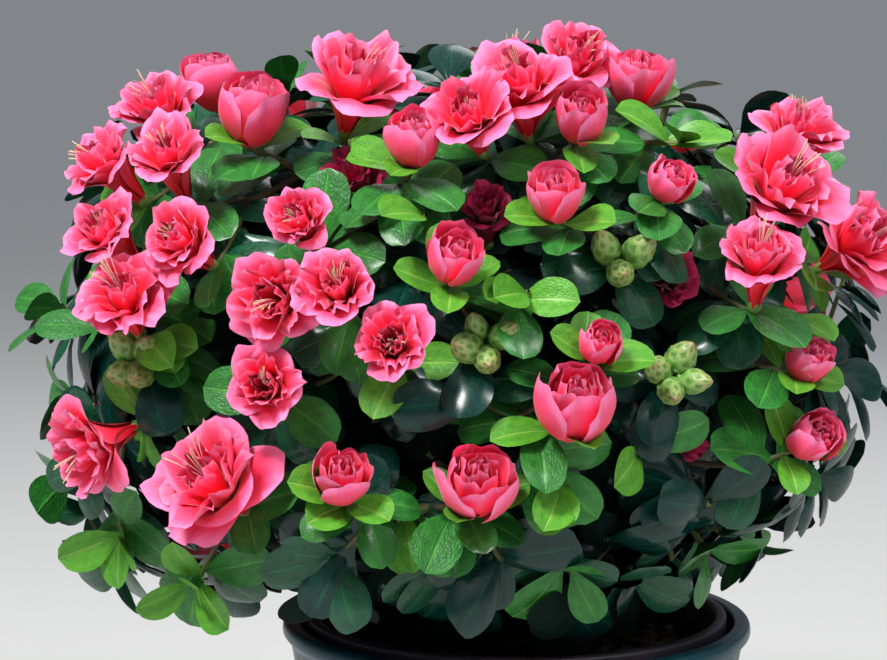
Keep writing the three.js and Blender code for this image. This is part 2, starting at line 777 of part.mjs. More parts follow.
const stemCutter = makeStem(GAP);
for (const mass of masses) {
  mass.shoots = shoots.filter((shoot) => shoot.mass === mass);
  addNode(`bough_${mass.label}`, makeBough(mass, stemCutter), BARK);
  addNode(`mass_${mass.label}`, makeMass(mass), FOLIAGE);
}

export default azalea;
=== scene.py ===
"""An azalea in flower, in its pots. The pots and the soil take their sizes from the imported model. The
rule that its crown grew by is written again here, in millimetres, and carried on to finer twigs, which
bear leaves, petals, stamens and buds in their own outline."""

import math
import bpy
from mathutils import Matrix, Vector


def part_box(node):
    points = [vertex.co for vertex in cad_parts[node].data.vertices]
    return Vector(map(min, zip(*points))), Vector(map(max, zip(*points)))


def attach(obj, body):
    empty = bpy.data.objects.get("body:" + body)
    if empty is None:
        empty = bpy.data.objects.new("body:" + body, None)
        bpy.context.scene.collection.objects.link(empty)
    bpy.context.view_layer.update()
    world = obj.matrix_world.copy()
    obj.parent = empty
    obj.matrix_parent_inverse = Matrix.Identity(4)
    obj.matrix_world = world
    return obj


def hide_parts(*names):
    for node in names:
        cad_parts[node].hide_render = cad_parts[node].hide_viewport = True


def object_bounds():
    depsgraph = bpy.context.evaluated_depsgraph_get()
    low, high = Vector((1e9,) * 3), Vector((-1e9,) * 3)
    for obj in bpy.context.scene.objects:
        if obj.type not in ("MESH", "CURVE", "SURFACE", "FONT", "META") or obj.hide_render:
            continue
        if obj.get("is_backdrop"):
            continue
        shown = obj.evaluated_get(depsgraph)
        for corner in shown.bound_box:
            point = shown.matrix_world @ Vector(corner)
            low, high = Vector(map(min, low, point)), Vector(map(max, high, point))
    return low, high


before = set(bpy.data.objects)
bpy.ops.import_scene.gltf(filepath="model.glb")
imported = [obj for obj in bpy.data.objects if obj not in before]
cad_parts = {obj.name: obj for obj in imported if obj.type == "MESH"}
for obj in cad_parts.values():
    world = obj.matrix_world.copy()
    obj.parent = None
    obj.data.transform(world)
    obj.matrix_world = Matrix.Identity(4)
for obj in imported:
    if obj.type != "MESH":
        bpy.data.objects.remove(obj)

from types import SimpleNamespace

import bpy
import numpy as np
from mathutils import Vector

CAD_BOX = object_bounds()
MM = 0.001
RIGHT, BACK, UP = np.eye(3)
TURN = 2 * math.pi
GOLDEN_ANGLE = math.pi * (3 - math.sqrt(5))
WORD = 0xFFFFFFFF
SEED_STEP = 0x6D2B79F5
SEEDS = {
    "shoots": 41, "sprays": 51, "skirt": 61, "twigs": 141, "leaves": 1041, "leans": 2041, "spins": 3041,
    "petals": 5041, "buds": 7041, "bark": 9041, "soil": 41,
}

# The stem, the boughs and the crown's reach, as the solids have them
GAP = 0.3
STEM_FOOT = np.array([2.0, 0.0, 151.3])
STEM_MIDDLE = np.array([-3.0, 3.0, 197.0])
STEM_FORK = np.array([-9.0, 2.0, 238.0])
STEM_RADII = (11.5, 7.5)
FLARE = 0.55
FLARE_HEIGHT = 0.22
FLARE_LOBES = 5
FLARE_LOBE_DEPTH = 0.22
BOUGH_RADII = (4.2, 2.8)
BOUGH_LIFT = 0.45
BOUGH_PULL = 0.4
CROWN_MIDDLE = np.array([-28.0, 5.0, 285.0])
CROWN_HALF_WIDTH = 212
CROWN_HALF_DEPTH = 192
CROWN_RISE = 160
CROWN_DROP = 125
FULLNESS_ABOVE = 2.8
FULLNESS_BELOW = 2.2
FULLNESS_LEFT = 2.2
HEART_SHARE = 0.46
RINGS = [
    # name, count, bearing, elevation, parts of the stem that the boughs fork from
    ("top", 1, 0, 90, [1]),
    ("upper", 6, -60, 42, [0.7, 0.85]),
    ("lower", 8, -90, -6, [0.28, 0.48]),
]

# Shoots on the side shown, seen from EYE against the upright plane through the pot's axis:
# centimetres to the right of the axis, centimetres above the foot, and the width seen there. Some
# say how far a bloom leans to the right and up in the view, or the age of the leaves.
EYE = np.array([-36.0, -1100.0, 413.0])
YOUNG = {"tone": 0}
SEEN = {
    "open": [
        [-7.8, 42.7, 6, {"lean": (0.4, 0.4)}], [-17.5, 41.5, 4.3],
        [-20.2, 38.7, 4.4, {"lean": (-0.5, 0.3)}], [-17, 39, 4], [-20.2, 35.4, 4.2], [-16.6, 35, 4.2],
        [-19.3, 32.3, 5.2], [-2.3, 41, 4.6, {"lean": (-0.2, -0.1)}],
        [0.2, 42.5, 5.8, {"lean": (-0.2, 0.3)}], [2.9, 43.8, 4.2],
        [13.7, 40.3, 4.6, {"lean": (0.1, 0.5)}], [12.9, 37.5, 6], [17.1, 35, 5.6, {"lean": (0.5, 0.2)}],
        [11.9, 34.2, 4.4, {"lean": (-0.3, 0.7)}], [-11.9, 32, 4.8], [-8.8, 32.6, 4], [-6.1, 29.9, 4],
        [-12.4, 27.8, 4], [-21.2, 24.6, 5.2, {"lean": (-0.7, -0.5)}],
        [-15.1, 23, 7, {"lean": (-0.3, 0.75)}], [-10.7, 36, 3.4],
    ],
    "half": [
        [-14.9, 43.1, 3.1], [-12.9, 41.7, 3.8], [-5, 40.2, 3], [3.1, 41.2, 2.9], [5.9, 43.2, 3.2],
        [1.8, 37.5, 3], [7.6, 38, 2.4], [-8.6, 23.5, 3, {"lean": (0.3, 0.9)}],
        [-1.9, 23.2, 4, {"lean": (0.1, 0.9)}], [2.9, 27.2, 4.2, {"lean": (0, 0.8)}], [14.8, 25.3, 2.8],
        [14.6, 29.2, 2.5], [-3, 34.3, 3], [4.1, 30, 2.3],
    ],
    "shaded": [[-1.5, 36.6, 2.8], [7.5, 33.1, 3.2], [8.5, 25, 2], [-8, 38.3, 3.4]],
    "buds": [[-20, 29.5, 3], [-1.5, 30.5, 3], [5.6, 35.1, 3], [8.5, 28.8, 3.2]],
    "leafy": [
        [-4.5, 37.2, 0, YOUNG], [0.8, 33.2, 0, YOUNG], [-1.6, 27], [2.8, 22.4, 0, YOUNG],
        [8.6, 41, 0, YOUNG], [14.6, 32, 0, YOUNG], [-22.6, 23.4], [-20.5, 19, 0, YOUNG],
        [-17, 16.5, 0, YOUNG], [-6.2, 20.4, 0, YOUNG], [10.4, 21], [-0.6, 18], [-9.4, 18],
    ],
}
SIGHT_START = 0.76
SIGHT_END = 1.1
SIGHT_STEP = 0.002
SHADED_SHARE = 0.82
FACE_TO_VIEWER = 0.55
FACE_TO_LIGHT = 0.25
FLOWER_DEPTH = 30
LEAFY_DEPTH = 18

# Shoots elsewhere, spread evenly; on the side shown they are leafy
FILL_TRIES = 600
FILL_LOWEST = -38
FILL_SPACING = 16
FILL_SHOWN_SPACING = 15.6
SHOWN_LEAST = -0.44
FILL_KINDS = [("open", 0.6), ("half", 0.78), ("buds", 0.84), ("leafy", 1)]
OPEN_WIDTH = 48
OPEN_SPREAD = 14
HALF_WIDTH = 30

# Twigs: their radii run from the first to the second over the taper's distance from the mass's foot
HUB_LENGTH = 16
RUN_COST = 0.3
SWAY = 0.14
TWIG_RADII = (2.6, 1.0)
TWIG_TAPER = (0, 150)
SPRAY_RUN = 90
TWIG_STEPS = 7
TWIG_SIDES = 6

# Finer sprays between and behind those shoots, by the same rule: share of the way to the crown's
# surface, spacing and lowest elevation in degrees, tones to draw from, leaves to a spray. The inner
# layers draw mostly the near-black tone, painted shade for the crown's inside.
SPRAY_LAYERS = [
    {"share": 0.95, "spacing": 12, "lowest": -62, "tones": [0, 1, 2, 2, 3, 3], "leaves": 6},
    {"share": 0.8, "spacing": 10.5, "lowest": -72, "tones": [3, 4, 4, 4, 4, 4], "leaves": 7},
    {"share": 0.62, "spacing": 14, "lowest": -80, "tones": [4], "leaves": 8},
]
SPRAY_TRIES = 1300
SPRAY_SHARES = (0.96, 0.07)
# Sprays below this height draw darker tones from LOW_TONES: older leaves, and the near-black tone as painted
# shade under the crown.
LOW_FACE = 262
LOW_TONES = [2, 3, 3, 4, 4]
LOW_SHARE = 0.75
DROOP_START = 215
DROOP_RANGE = 50
DROOP = 0.9

# Rings of sprays that hang over the soil and the pots' rims: distance from the pots' axis, height,
# how many, and how far the tips turn down. The two inner rings take the near-black tone, painted
# shade, as they lie in the shade.
SKIRT = [
    (50, 178, 10, 0.3), (78, 180, 17, 0.5), (100, 188, 20, 0.7), (118, 194, 24, 0.8), (134, 206, 24, 1.0),
]
SKIRT_DARK_RINGS = 2
SKIRT_SPREAD = 8
SKIRT_LEAVES = 7
SKIRT_TONES = [2, 3, 3, 4]

# Leaves, youngest first; the last, near-black, is painted shade for leaves that stay in the shade.
# A look is the colours of the blade, its veins and its edge, then roughness, gloss, coat, and the
# relief's depth in metres.
LEAF_LOOKS = {
    "young": ((0.11, 0.35, 0.025), (0.27, 0.52, 0.09), (0.06, 0.26, 0.02), 0.4, 0.3, 0.1, 0.0006),
    "fresh": ((0.03, 0.21, 0.026), (0.085, 0.32, 0.055), (0.017, 0.13, 0.02), 0.4, 0.25, 0.25, 0.0008),
    "mature": ((0.007, 0.09, 0.034), (0.018, 0.15, 0.055), (0.004, 0.05, 0.025), 0.4, 0.15, 0.55, 0.0012),
    "old": ((0.002, 0.044, 0.029), (0.006, 0.075, 0.045), (0.001, 0.022, 0.018), 0.45, 0.05, 0.6, 0.0014),
    "shade": ((0.001, 0.013, 0.008), (0.002, 0.02, 0.012), (0.001, 0.007, 0.005), 0.7, 0.1, 0.0, 0.0006),
}
OLD_TONE = 3
PAINTED_SHADE_TONE = 4
LEAF_LENGTHS = [27, 31, 33, 34, 33]
LEAF_BENDS = [0.1, 0.3, 0.5, 0.65, 0.5]
LEAF_FOLDS = [0.3, 0.16, 0.04, -0.02, 0.02]
LEAF_CURLS = [0.05, 0.12, 0.26, 0.3, 0.2]
LEAF_WAVES = [0.4, 0.5, 0.7, 0.8, 0.6]
LEAF_BREADTH = 0.62
LEAF_WIDEST = 0.6
LEAF_STALK = 0.7
LEAF_COLUMNS = np.array([-1, -0.66, -0.3, 0, 0.3, 0.66, 1])
LEAF_ROWS = 9
LEAF_INNER_COLUMNS = np.array([-1, -0.5, 0, 0.5, 1])
LEAF_INNER_ROWS = 5
SIDE_VEINS = 7.5
SIDE_VEIN_SLANT = 5.0

# Whorls: leaves by kind of shoot, how far they lean out from its axis in degrees, the uppermost and
# each one lower, the room that leaves of different shoots keep, and after how many leaves a tone older
LEAVES = {"open": 8, "half": 8, "shaded": 6, "buds": 9, "leafy": 10}
LEAF_LEANS = {
    "open": (62, 5), "half": (50, 6), "shaded": (62, 5), "buds": (58, 6), "leafy": (36, 7), "spray": (36, 7),
}
LEAN_CHANCE = 12
LEAN_MOST = 112
LEAF_FIRST = 1.5
LEAF_STEP = 2.6
LEAF_TRIES = 8
LEAF_RETURN = 0.9
SPIN_CHANCE = 0.4
ROOT_LEAST = 0.05
TONE_LEAVES = 4
LEAF_ROOM = 10.5
# Points along a leaf that are tested, as shares of its length: out and down
LEAF_TESTS = ((0.5, 0.04), (0.8, 0.1), (1, 0.18))

# The tones to draw from, by kind of shoot
SHOOT_TONES = {
    "open": (0, 1, 1), "half": (0, 0, 1), "shaded": (3, 4), "buds": (2, 3, 3), "leafy": (1, 2, 3, 3),
}

# How far leaves may reach past the crown's surface, and how low over the soil and the pots' rims
OUTER_SHARE = 1.1
LOW_REACH = 0.09
LOW_EDGE = 225
RIM_RADIUS = 119
RIM_TOP = 170
SOIL_RADIUS = 94
SOIL_CLEAR = 155

# Blooms: the room that other shoots' leaves leave each, as a share of its width, and how far those
# lean that have no lean of their own; half-open ones rise
FLOWERS = ("open", "half", "shaded")
CLEAR_SHARES = {"open": 0.5, "half": 0.62, "shaded": 0.5}
CLEAR_SINK = 0.2
LEAN_SPREAD = 0.42
HALF_RISE = 0.5
HALF_DEPTH = 0.66

# Petals: their grid, the pieces that a bloom's outer and inner ones join, each piece's look, and the
# colours from throat to rim
PETAL_COLUMNS = 14
PETAL_ROWS = 10
PETAL_PIECES = {
    "open": ("petals_open", "petals_ruffled"),
    "half": ("petals_cupped", "petals_furled"),
    "shaded": ("petals_shaded", "petals_shaded"),
}
PETAL_LOOKS = {
    "petals_open": "outer", "petals_ruffled": "inner", "petals_cupped": "outer", "petals_furled": "inner",
    "petals_shaded": "shaded",
}
PETAL_COLOURS = {
    "outer": [
        (0, (0.5, 0.001, 0.006)), (0.4, (0.86, 0.008, 0.026)), (0.62, (0.93, 0.03, 0.09)),
        (0.86, (0.96, 0.075, 0.2)), (1, (1.0, 0.21, 0.44)),
    ],
    "inner": [
        (0, (0.5, 0.001, 0.005)), (0.45, (0.88, 0.008, 0.024)), (0.76, (0.95, 0.032, 0.09)),
        (0.92, (0.97, 0.09, 0.22)), (1, (1.0, 0.22, 0.42)),
    ],
    # The shaded blooms' darker reds are painted shade.
    "shaded": [(0, (0.1, 0.001, 0.004)), (0.6, (0.28, 0.002, 0.02)), (1, (0.45, 0.012, 0.09))],
}
OPEN_PETALS = 5
RUFFLED_PETALS = 6
HEART_PETALS = 7
FURLED_PETALS = 16
FURLED_INNER_SHARE = 0.6

# Stamens, calyxes and green buds; a bud has scales round it, in whorls along it
STAMENS = 8
STAMEN_RADIUS = 0.3
STAMEN_TAPER = 0.08
STAMEN_STEPS = 8
STAMEN_SIDES = 4
STAMEN_COLOURS = [(0, (0.8, 0.1, 0.2)), (0.7, (0.9, 0.45, 0.5)), (0.95, (0.75, 0.6, 0.4))]
CALYX_RADII = [1.1, 1.9, 2.6, 2.9, 3.0, 2.9, 2.5]
CALYX_SIDES = 10
CALYX_COLOURS = [(0, (0.1, 0.2, 0.04)), (1, (0.2, 0.36, 0.09))]
BUD_LENGTH = 21
BUD_GIRTH = 5.8
BUD_SCALES = 5
BUD_WHORLS = 6
BUD_LOBE = 0.45
BUD_ROWS = 34
BUD_SIDES = 30
BUD_MIDDLE = 14
BUD_ROOM = 15
BUD_COLOURS = [
    (0, (0.07, 0.26, 0.03)), (0.5, (0.16, 0.38, 0.07)), (0.85, (0.3, 0.38, 0.12)), (1, (0.34, 0.16, 0.09)),
]
# Darker green in the seams under the scales' edges: painted shade
BUD_SEAM_SHADE = (0.11, 0.25, 0.045)
BUD_TIP = (0.34, 0.28, 0.12)

# Bark: ridges round a limb, rings along it, how deep they are against its radius, and the grids round
# and along the stem and the boughs
BARK_RIDGES = [3, 5, 8, 13]
BARK_RINGS = [3, 7, 17]
BARK_RELIEF = 0.035
STEM_GRID = (64, 70)
BOUGH_GRID = (20, 48)
TWIG_COLOURS = [(0, (0.07, 0.04, 0.02)), (0.6, (0.1, 0.08, 0.03)), (1, (0.12, 0.16, 0.04))]

# Looks of the pots, the soil and the bark: two colours that cloud into each other, the clouds' scale,
# roughness, and the relief's depth in metres
SOLID_LOOKS = {
    "cover_pot": ((0.002, 0.034, 0.047), (0.005, 0.05, 0.068), 14, 0.36, 0.0003),
    "grower_pot": ((0.008, 0.006, 0.012), (0.02, 0.014, 0.024), 30, 0.5, 0.0003),
    "soil": ((0.02, 0.011, 0.006), (0.06, 0.035, 0.02), 90, 0.95, 0.002),
    "bark": ((0.09, 0.055, 0.03), (0.2, 0.13, 0.08), 70, 0.85, 0.0015),
}

# The pots and the soil, in metres
AXIS_HOLE = 0.0005
COVER_FOOT = 0.084
COVER_WALL = 0.005
COVER_FLOOR = 0.006
COVER_LIP = 0.004
COVER_KNEE = 0.42
COVER_SIDES = 288
RIBS = 48
RIB_DEPTH = 0.0005
RIB_START = 0.01
INNER_FOOT = 0.074
INNER_WALL = 0.0026
INNER_BAND = 0.012
INNER_SIDES = 144
SOIL_RINGS = 60
SOIL_SIDES = 150
SOIL_DROP = 0.004
SOIL_LUMPS = 40
SOIL_LUMP_WAVES = (60, 760)
SOIL_ROUGHNESS = 0.042
CRUMBS = 700
CRUMB_ROWS = 4
CRUMB_SIDES = 6
CRUMB_SIZE = 0.0008
CRUMB_SPREAD = 0.0022
CRUMB_SINK = 0.0035
CRUMB_JAG = 0.25
CRUMB_HEIGHT = 1.3

# The studio, in metres and watts
FLOOR_SIZE = 300
FLOOR_COLOUR = (0.62, 0.61, 0.59)
SKY_LOW = (0.12, 0.13, 0.15)
SKY_HIGH = (0.48, 0.52, 0.57)
LAMPS = [
    # name, place, power, size
    ("key", (-0.8, -1.1, 1.9), 54, 0.5),
    ("side", (0.9, -1.2, 1.9), 16, 0.4),
    ("fill", (1.6, -1.4, 1.2), 6, 1.6),
    ("back", (0.6, 1.5, 1.8), 13, 1.2),
]
LAMP_TARGET = (0, 0, 0.3)
CAMERA_TARGET = (-0.036, 0, 0.305)
LENS = 91.3
SENSOR = 36


def unit(vectors):
    return vectors / np.linalg.norm(vectors, axis=-1, keepdims=True)


def seeded(what, index=0):
    """The source's seeded draw, of numbers from a least one over a spread."""
    state = SEEDS[what] + index

    def draw(least=0, spread=1):
        nonlocal state
        state = (state + SEED_STEP) & WORD
        mixed = ((state ^ (state >> 15)) * (state | 1)) & WORD
        mixed ^= (mixed + (mixed ^ (mixed >> 7)) * (mixed | 61)) & WORD
        return least + spread * (mixed ^ (mixed >> 14)) / (WORD + 1)

    return draw


def pick(items, chance):
    return items[int(chance * len(items))]


def towards(turn, sine):
    """The direction at an angle round the upright axis, raised from the level by that sine."""
    flat = math.sqrt(1 - sine * sine)
    return np.array([flat * math.cos(turn), flat * math.sin(turn), sine])


def reach(direction):
    """How far the crown reaches from its middle in a direction."""
    x, y, z = direction
    plan = math.hypot(x / CROWN_HALF_WIDTH, y / CROWN_HALF_DEPTH)
    height = abs(z) / (CROWN_RISE if z > 0 else CROWN_DROP)
    fullness = FULLNESS_ABOVE if z > 0 else FULLNESS_BELOW + FULLNESS_LEFT * max(0, -x)
    return (plan**fullness + height**fullness) ** (-1 / fullness)


def crown_share(point):
    out = point - CROWN_MIDDLE
    distance = np.linalg.norm(out)
    return distance / reach(out / distance)


def crown_point(direction, share):
    return CROWN_MIDDLE + share * reach(direction) * direction


def crown_normal(point):
    out = point - CROWN_MIDDLE
    height = CROWN_RISE if out[2] > 0 else CROWN_DROP
    return unit(out / np.array([CROWN_HALF_WIDTH, CROWN_HALF_DEPTH, height]) ** 2)


def sighted(aim, wanted):
    """How much of the way to a place on the upright plane the line of sight goes before it meets
    the dome, or passes nearest to it."""
    parts = np.arange(SIGHT_START, SIGHT_END, SIGHT_STEP)
    shares = np.array([crown_share(EYE + part * aim) for part in parts])
    met = parts[shares <= wanted]
    return met[0] if len(met) else parts[np.argmin(shares)]


class Shoot:
    """A twig's tip: what it bears, where its face is, the way it faces, and the twig's end under it."""

    tone = leaves = lean = None
    inside = False

    def __init__(self, kind, face, axis, width=0, **more):
        self.kind, self.face, self.axis, self.width = kind, face, axis, width
        self.base = face - (LEAFY_DEPTH if kind in ("leafy", "spray") else FLOWER_DEPTH) * axis
        vars(self).update(more)


def facing(face, shown):
    """A shoot looks out of the crown and up to the light; one that shows turns to the viewer too."""
    axis = crown_normal(face)
    if shown:
        axis = axis + FACE_TO_VIEWER * unit(EYE - face)
    return unit(axis + FACE_TO_LIGHT * UP)


def seen_shoot(kind, right, up, width=0, more=()):
    """A shoot that is seen at a place: nearer to the eye than the plane, it is smaller than it looks."""
    aim = np.array([10 * right, 0, 10 * up]) - EYE
    part = sighted(aim, SHADED_SHARE if kind == "shaded" else 1)
    face = EYE + part * aim
    return Shoot(kind, face, facing(face, True), 10 * width * part, **dict(more))


def spiral(count, lowest):
    """Directions spread evenly from straight up down to an elevation."""
    low = math.sin(math.radians(lowest))
    for i in range(count):
        yield towards(i * GOLDEN_ANGLE, 1 - (i + 0.5) / count * (1 - low))


def crowded(out, faces, spacing):
    if not faces:
        return False
    closest = max(unit(np.array(faces) - CROWN_MIDDLE) @ out)
    return closest > math.cos(math.radians(spacing))


def make_shoots():
    shoots = [seen_shoot(kind, *place) for kind, places in SEEN.items() for place in places]
    draw = seeded("shoots")
    for out in spiral(FILL_TRIES, FILL_LOWEST):
        face = crown_point(out, 1)
        shown = crown_normal(face) @ unit(EYE - face) > SHOWN_LEAST
        chance = draw()
        spacing = FILL_SHOWN_SPACING if shown else FILL_SPACING
        if crowded(out, [shoot.face for shoot in shoots], spacing):
            continue
        kind = "leafy" if shown else next(kind for kind, most in FILL_KINDS if chance < most)
        width = HALF_WIDTH if kind == "half" else OPEN_WIDTH + OPEN_SPREAD * chance
        shoots.append(Shoot(kind, face, facing(face, False), width))
    return shoots


def make_sprays(shoots):
    """Leafy sprays between the shoots, then behind them, down to the dark inside of the crown, whose
    near-black leaves are painted shade; low sprays take darker tones, partly painted shade. The lower a
    spray is, the more its tip turns down."""
    sprays = []
    for layer, plan in enumerate(SPRAY_LAYERS):
        draw = seeded("sprays", layer)
        faces = [shoot.face for shoot in shoots] if layer == 0 else []
        for out in spiral(SPRAY_TRIES, plan["lowest"]):
            tone = pick(plan["tones"], draw())
            share = plan["share"] * draw(*SPRAY_SHARES)
            grows = draw() < LOW_SHARE
            if crowded(out, faces, plan["spacing"]):
                continue
            face = crown_point(out, share)
            faces.append(face)
            if face[2] < LOW_FACE and layer == 0:
                if not grows:
                    continue
                tone = pick(LOW_TONES, draw())
            spray = Shoot("spray", face, facing(face, False), tone=tone, leaves=plan["leaves"])
            spray.inside = layer > 0
            fall = min(1, max(0, (DROOP_START - face[2]) / DROOP_RANGE))
            spray.axis = unit(spray.axis - DROOP * fall * UP)
            sprays.append(spray)
    return sprays


def make_skirt():
    """Leafy sprays in rings round the foot of the crown, which hide the soil and hang to the rim."""
    sprays = []
    for ring, (far, height, count, fall) in enumerate(SKIRT):
        draw = seeded("skirt", ring)
        dark = ring < SKIRT_DARK_RINGS
        for i in range(count):
            out = towards(TURN * (i + 0.5 * ring + 0.5 * draw()) / count, 0)
            face = out * (far + SKIRT_SPREAD * (draw() - 0.5))
            face = face + (height + SKIRT_SPREAD * (draw() - 0.5)) * UP
            tone = PAINTED_SHADE_TONE if dark else pick(SKIRT_TONES, draw())
            axis = unit(out - fall * UP)
            sprays.append(Shoot("spray", face, axis, tone=tone, leaves=SKIRT_LEAVES, inside=dark))
    return sprays


def bezier(start, pull, end, part):
    return (1 - part) ** 2 * start + 2 * part * (1 - part) * pull + part**2 * end


class Curve:
    """A quadratic Bezier curve that is walked by its length."""

    DIVISIONS = 60

    def __init__(self, start, pull, end):
        self.corners = (start, pull, end)
        self.parts = np.linspace(0, 1, self.DIVISIONS + 1)
        steps = np.linalg.norm(np.diff(self.raw(self.parts), axis=0), axis=1)
        self.run = np.concatenate([[0], np.cumsum(steps)])
        self.length = self.run[-1]

    def raw(self, part):
        return bezier(*self.corners, np.asarray(part, float)[..., None])

    def at(self, part):
        return self.raw(np.interp(np.asarray(part) * self.length, self.run, self.parts))


STEM = Curve(STEM_FOOT, STEM_MIDDLE, STEM_FORK)


def make_masses():
    """Where each mass of foliage lies, and the bough that bears it."""
    masses = []
    for name, count, bearing, elevation, forks in RINGS:
        for i in range(count):
            out = towards(math.radians(bearing + 360 / count * i), math.sin(math.radians(elevation)))
            foot = crown_point(out, HEART_SHARE)
            start = STEM.at(forks[i % len(forks)])
            below = np.array([foot[0], foot[1], start[2]])
            lift = below + BOUGH_LIFT * (foot - below)
            pull = lift + BOUGH_PULL * (start - lift)
            label = f"{name}_{i + 1}" if count > 1 else name
            bough = Curve(start, pull, foot)
            masses.append(SimpleNamespace(
                label=label, out=out, foot=foot, bough=bough, heading=unit(foot - pull), shoots=[]))
    return masses


def lean_flower(shoot, index):
    """Turns a bloom away from the crown, as far as it leans in the photo or by chance."""
    draw = seeded("leans", index)
    turn, amount = TURN * draw(), LEAN_SPREAD * draw()
    across, over = amount * math.cos(turn), amount * math.sin(turn)
    half_open = shoot.kind == "half"
    if half_open:
        over += HALF_RISE
    across, over = shoot.lean or (across, over)
    sight = unit(shoot.face - EYE)
    right = unit(np.cross(sight, UP))
    shoot.axis = unit(shoot.axis + across * right + over * np.cross(right, sight))
    shoot.depth = HALF_DEPTH * shoot.width if half_open else FLOWER_DEPTH
    shoot.base = shoot.face - shoot.depth * shoot.axis


def share_out(shoots, masses):
    """Each shoot belongs to the mass that lies most in its direction."""
    outs = np.array([mass.out for mass in masses])
    for shoot in shoots:
        nearest = int(np.argmax(outs @ unit(shoot.face - CROWN_MIDDLE)))
        masses[nearest].shoots.append(shoot)


def grow_twigs(mass, index):
    """The seeded branching rule: each shoot joins the nearest fork that has grown already, and the
    fine sprays come last."""
    draw = seeded("twigs", index)
    start = mass.foot + GAP * mass.heading
    hub = start + HUB_LENGTH * mass.heading
    forks = [(hub, HUB_LENGTH)]
    twigs = [(Curve(start, (start + hub) / 2, hub), 0, HUB_LENGTH)]

    def turn_to_grow(shoot):
        return shoot.kind == "spray", np.linalg.norm(shoot.base - hub)

    for shoot in sorted(mass.shoots, key=turn_to_grow):
        base = shoot.base
        costs = [np.linalg.norm(at - base) + RUN_COST * run for at, run in forks]
        at, run = forks[int(np.argmin(costs))]
        length = np.linalg.norm(at - base)
        sway = np.array([draw() - 0.5, draw() - 0.5, draw() - 0.8])
        bend = (at + base) / 2 + SWAY * length * sway
        shoot.twig = Curve(at, 2 * bend - (at + base) / 2, base)
        if shoot.kind == "spray":
            run = max(run, SPRAY_RUN)
        twigs.append((shoot.twig, run, run + length))
        forks.append((bend, run + length / 2))
    return twigs


def frame_about(axis, spin):
    """Two directions across an axis, turned by an angle."""
    side = np.cross(UP, axis)
    if np.linalg.norm(side) < 1e-6:
        side = RIGHT
    side = unit(side)
    other = np.cross(axis, side)
    return math.cos(spin) * side + math.sin(spin) * other, math.cos(spin) * other - math.sin(spin) * side


def outward(shoot, turn):
    return math.cos(turn) * shoot.ex + math.sin(turn) * shoot.ey


def leaf_shape(tone, draw):
    """A leaf's own sizes: young ones fold up, old ones arch back and curl their edges down."""
    return {
        "length": LEAF_LENGTHS[tone] * draw(0.86, 0.3),
        "breadth": LEAF_BREADTH * draw(0.92, 0.18),
        "bend": LEAF_BENDS[tone] + 0.5 * draw(),
        "fold": LEAF_FOLDS[tone] + draw(-0.036, 0.12),
        "curl": LEAF_CURLS[tone] * draw(0.6, 0.8),
        "twist": draw(-0.35, 0.7),
        "wave": LEAF_WAVES[tone] * draw(),
        "phase": TURN * draw(),
        "tone": tone,
    }


class Room:
    """Where leaves are already, kept in cells as wide as the room that a leaf needs."""

    AROUND = [(x, y, z) for x in (-1, 0, 1) for y in (-1, 0, 1) for z in (-1, 0, 1)]

    def __init__(self):
        self.cells = {}

    def cell(self, point):
        return tuple(int(part // LEAF_ROOM) for part in point)

    def take(self, points, own):
        for point in points:
            self.cells.setdefault(self.cell(point), []).append((point, own))

    def taken(self, points, own):
        """Whether a leaf of another shoot is too near to any of the points."""
        for point in points:
            x, y, z = self.cell(point)
            for dx, dy, dz in self.AROUND:
                for other, owner in self.cells.get((x + dx, y + dy, z + dz), ()):
                    if owner != own and np.linalg.norm(other - point) < LEAF_ROOM:
                        return True
        return False


def kept_clear(everything):
    """The balls that other shoots' leaves keep out of, at each bloom and bud: centres, radii, owners."""
    balls = []
    for index, shoot in enumerate(everything):
        if shoot.kind in FLOWERS:
            centre = shoot.face - CLEAR_SINK * shoot.depth * shoot.axis
            balls.append((centre, CLEAR_SHARES[shoot.kind] * shoot.width, index))
        elif shoot.kind == "buds":
            balls.append((shoot.base + BUD_MIDDLE * shoot.axis, BUD_ROOM, index))
    return [np.array(part) for part in zip(*balls)]


def leaf_clear(points, own, blossoms):
    """Whether a leaf stays in the crown, off the pots and out of the other blossoms."""
    for point in points:
        if crown_share(point) > OUTER_SHARE + (LOW_REACH if point[2] < LOW_EDGE else 0):
            return False
        from_axis = math.hypot(point[0], point[1])
        if from_axis < RIM_RADIUS and point[2] < (SOIL_CLEAR if from_axis < SOIL_RADIUS else RIM_TOP):
            return False
    centres, radii, owners = blossoms
    distances = np.linalg.norm(points[:, None, :] - centres[None], axis=2)
    return not ((distances < radii) & (owners != own)).any()


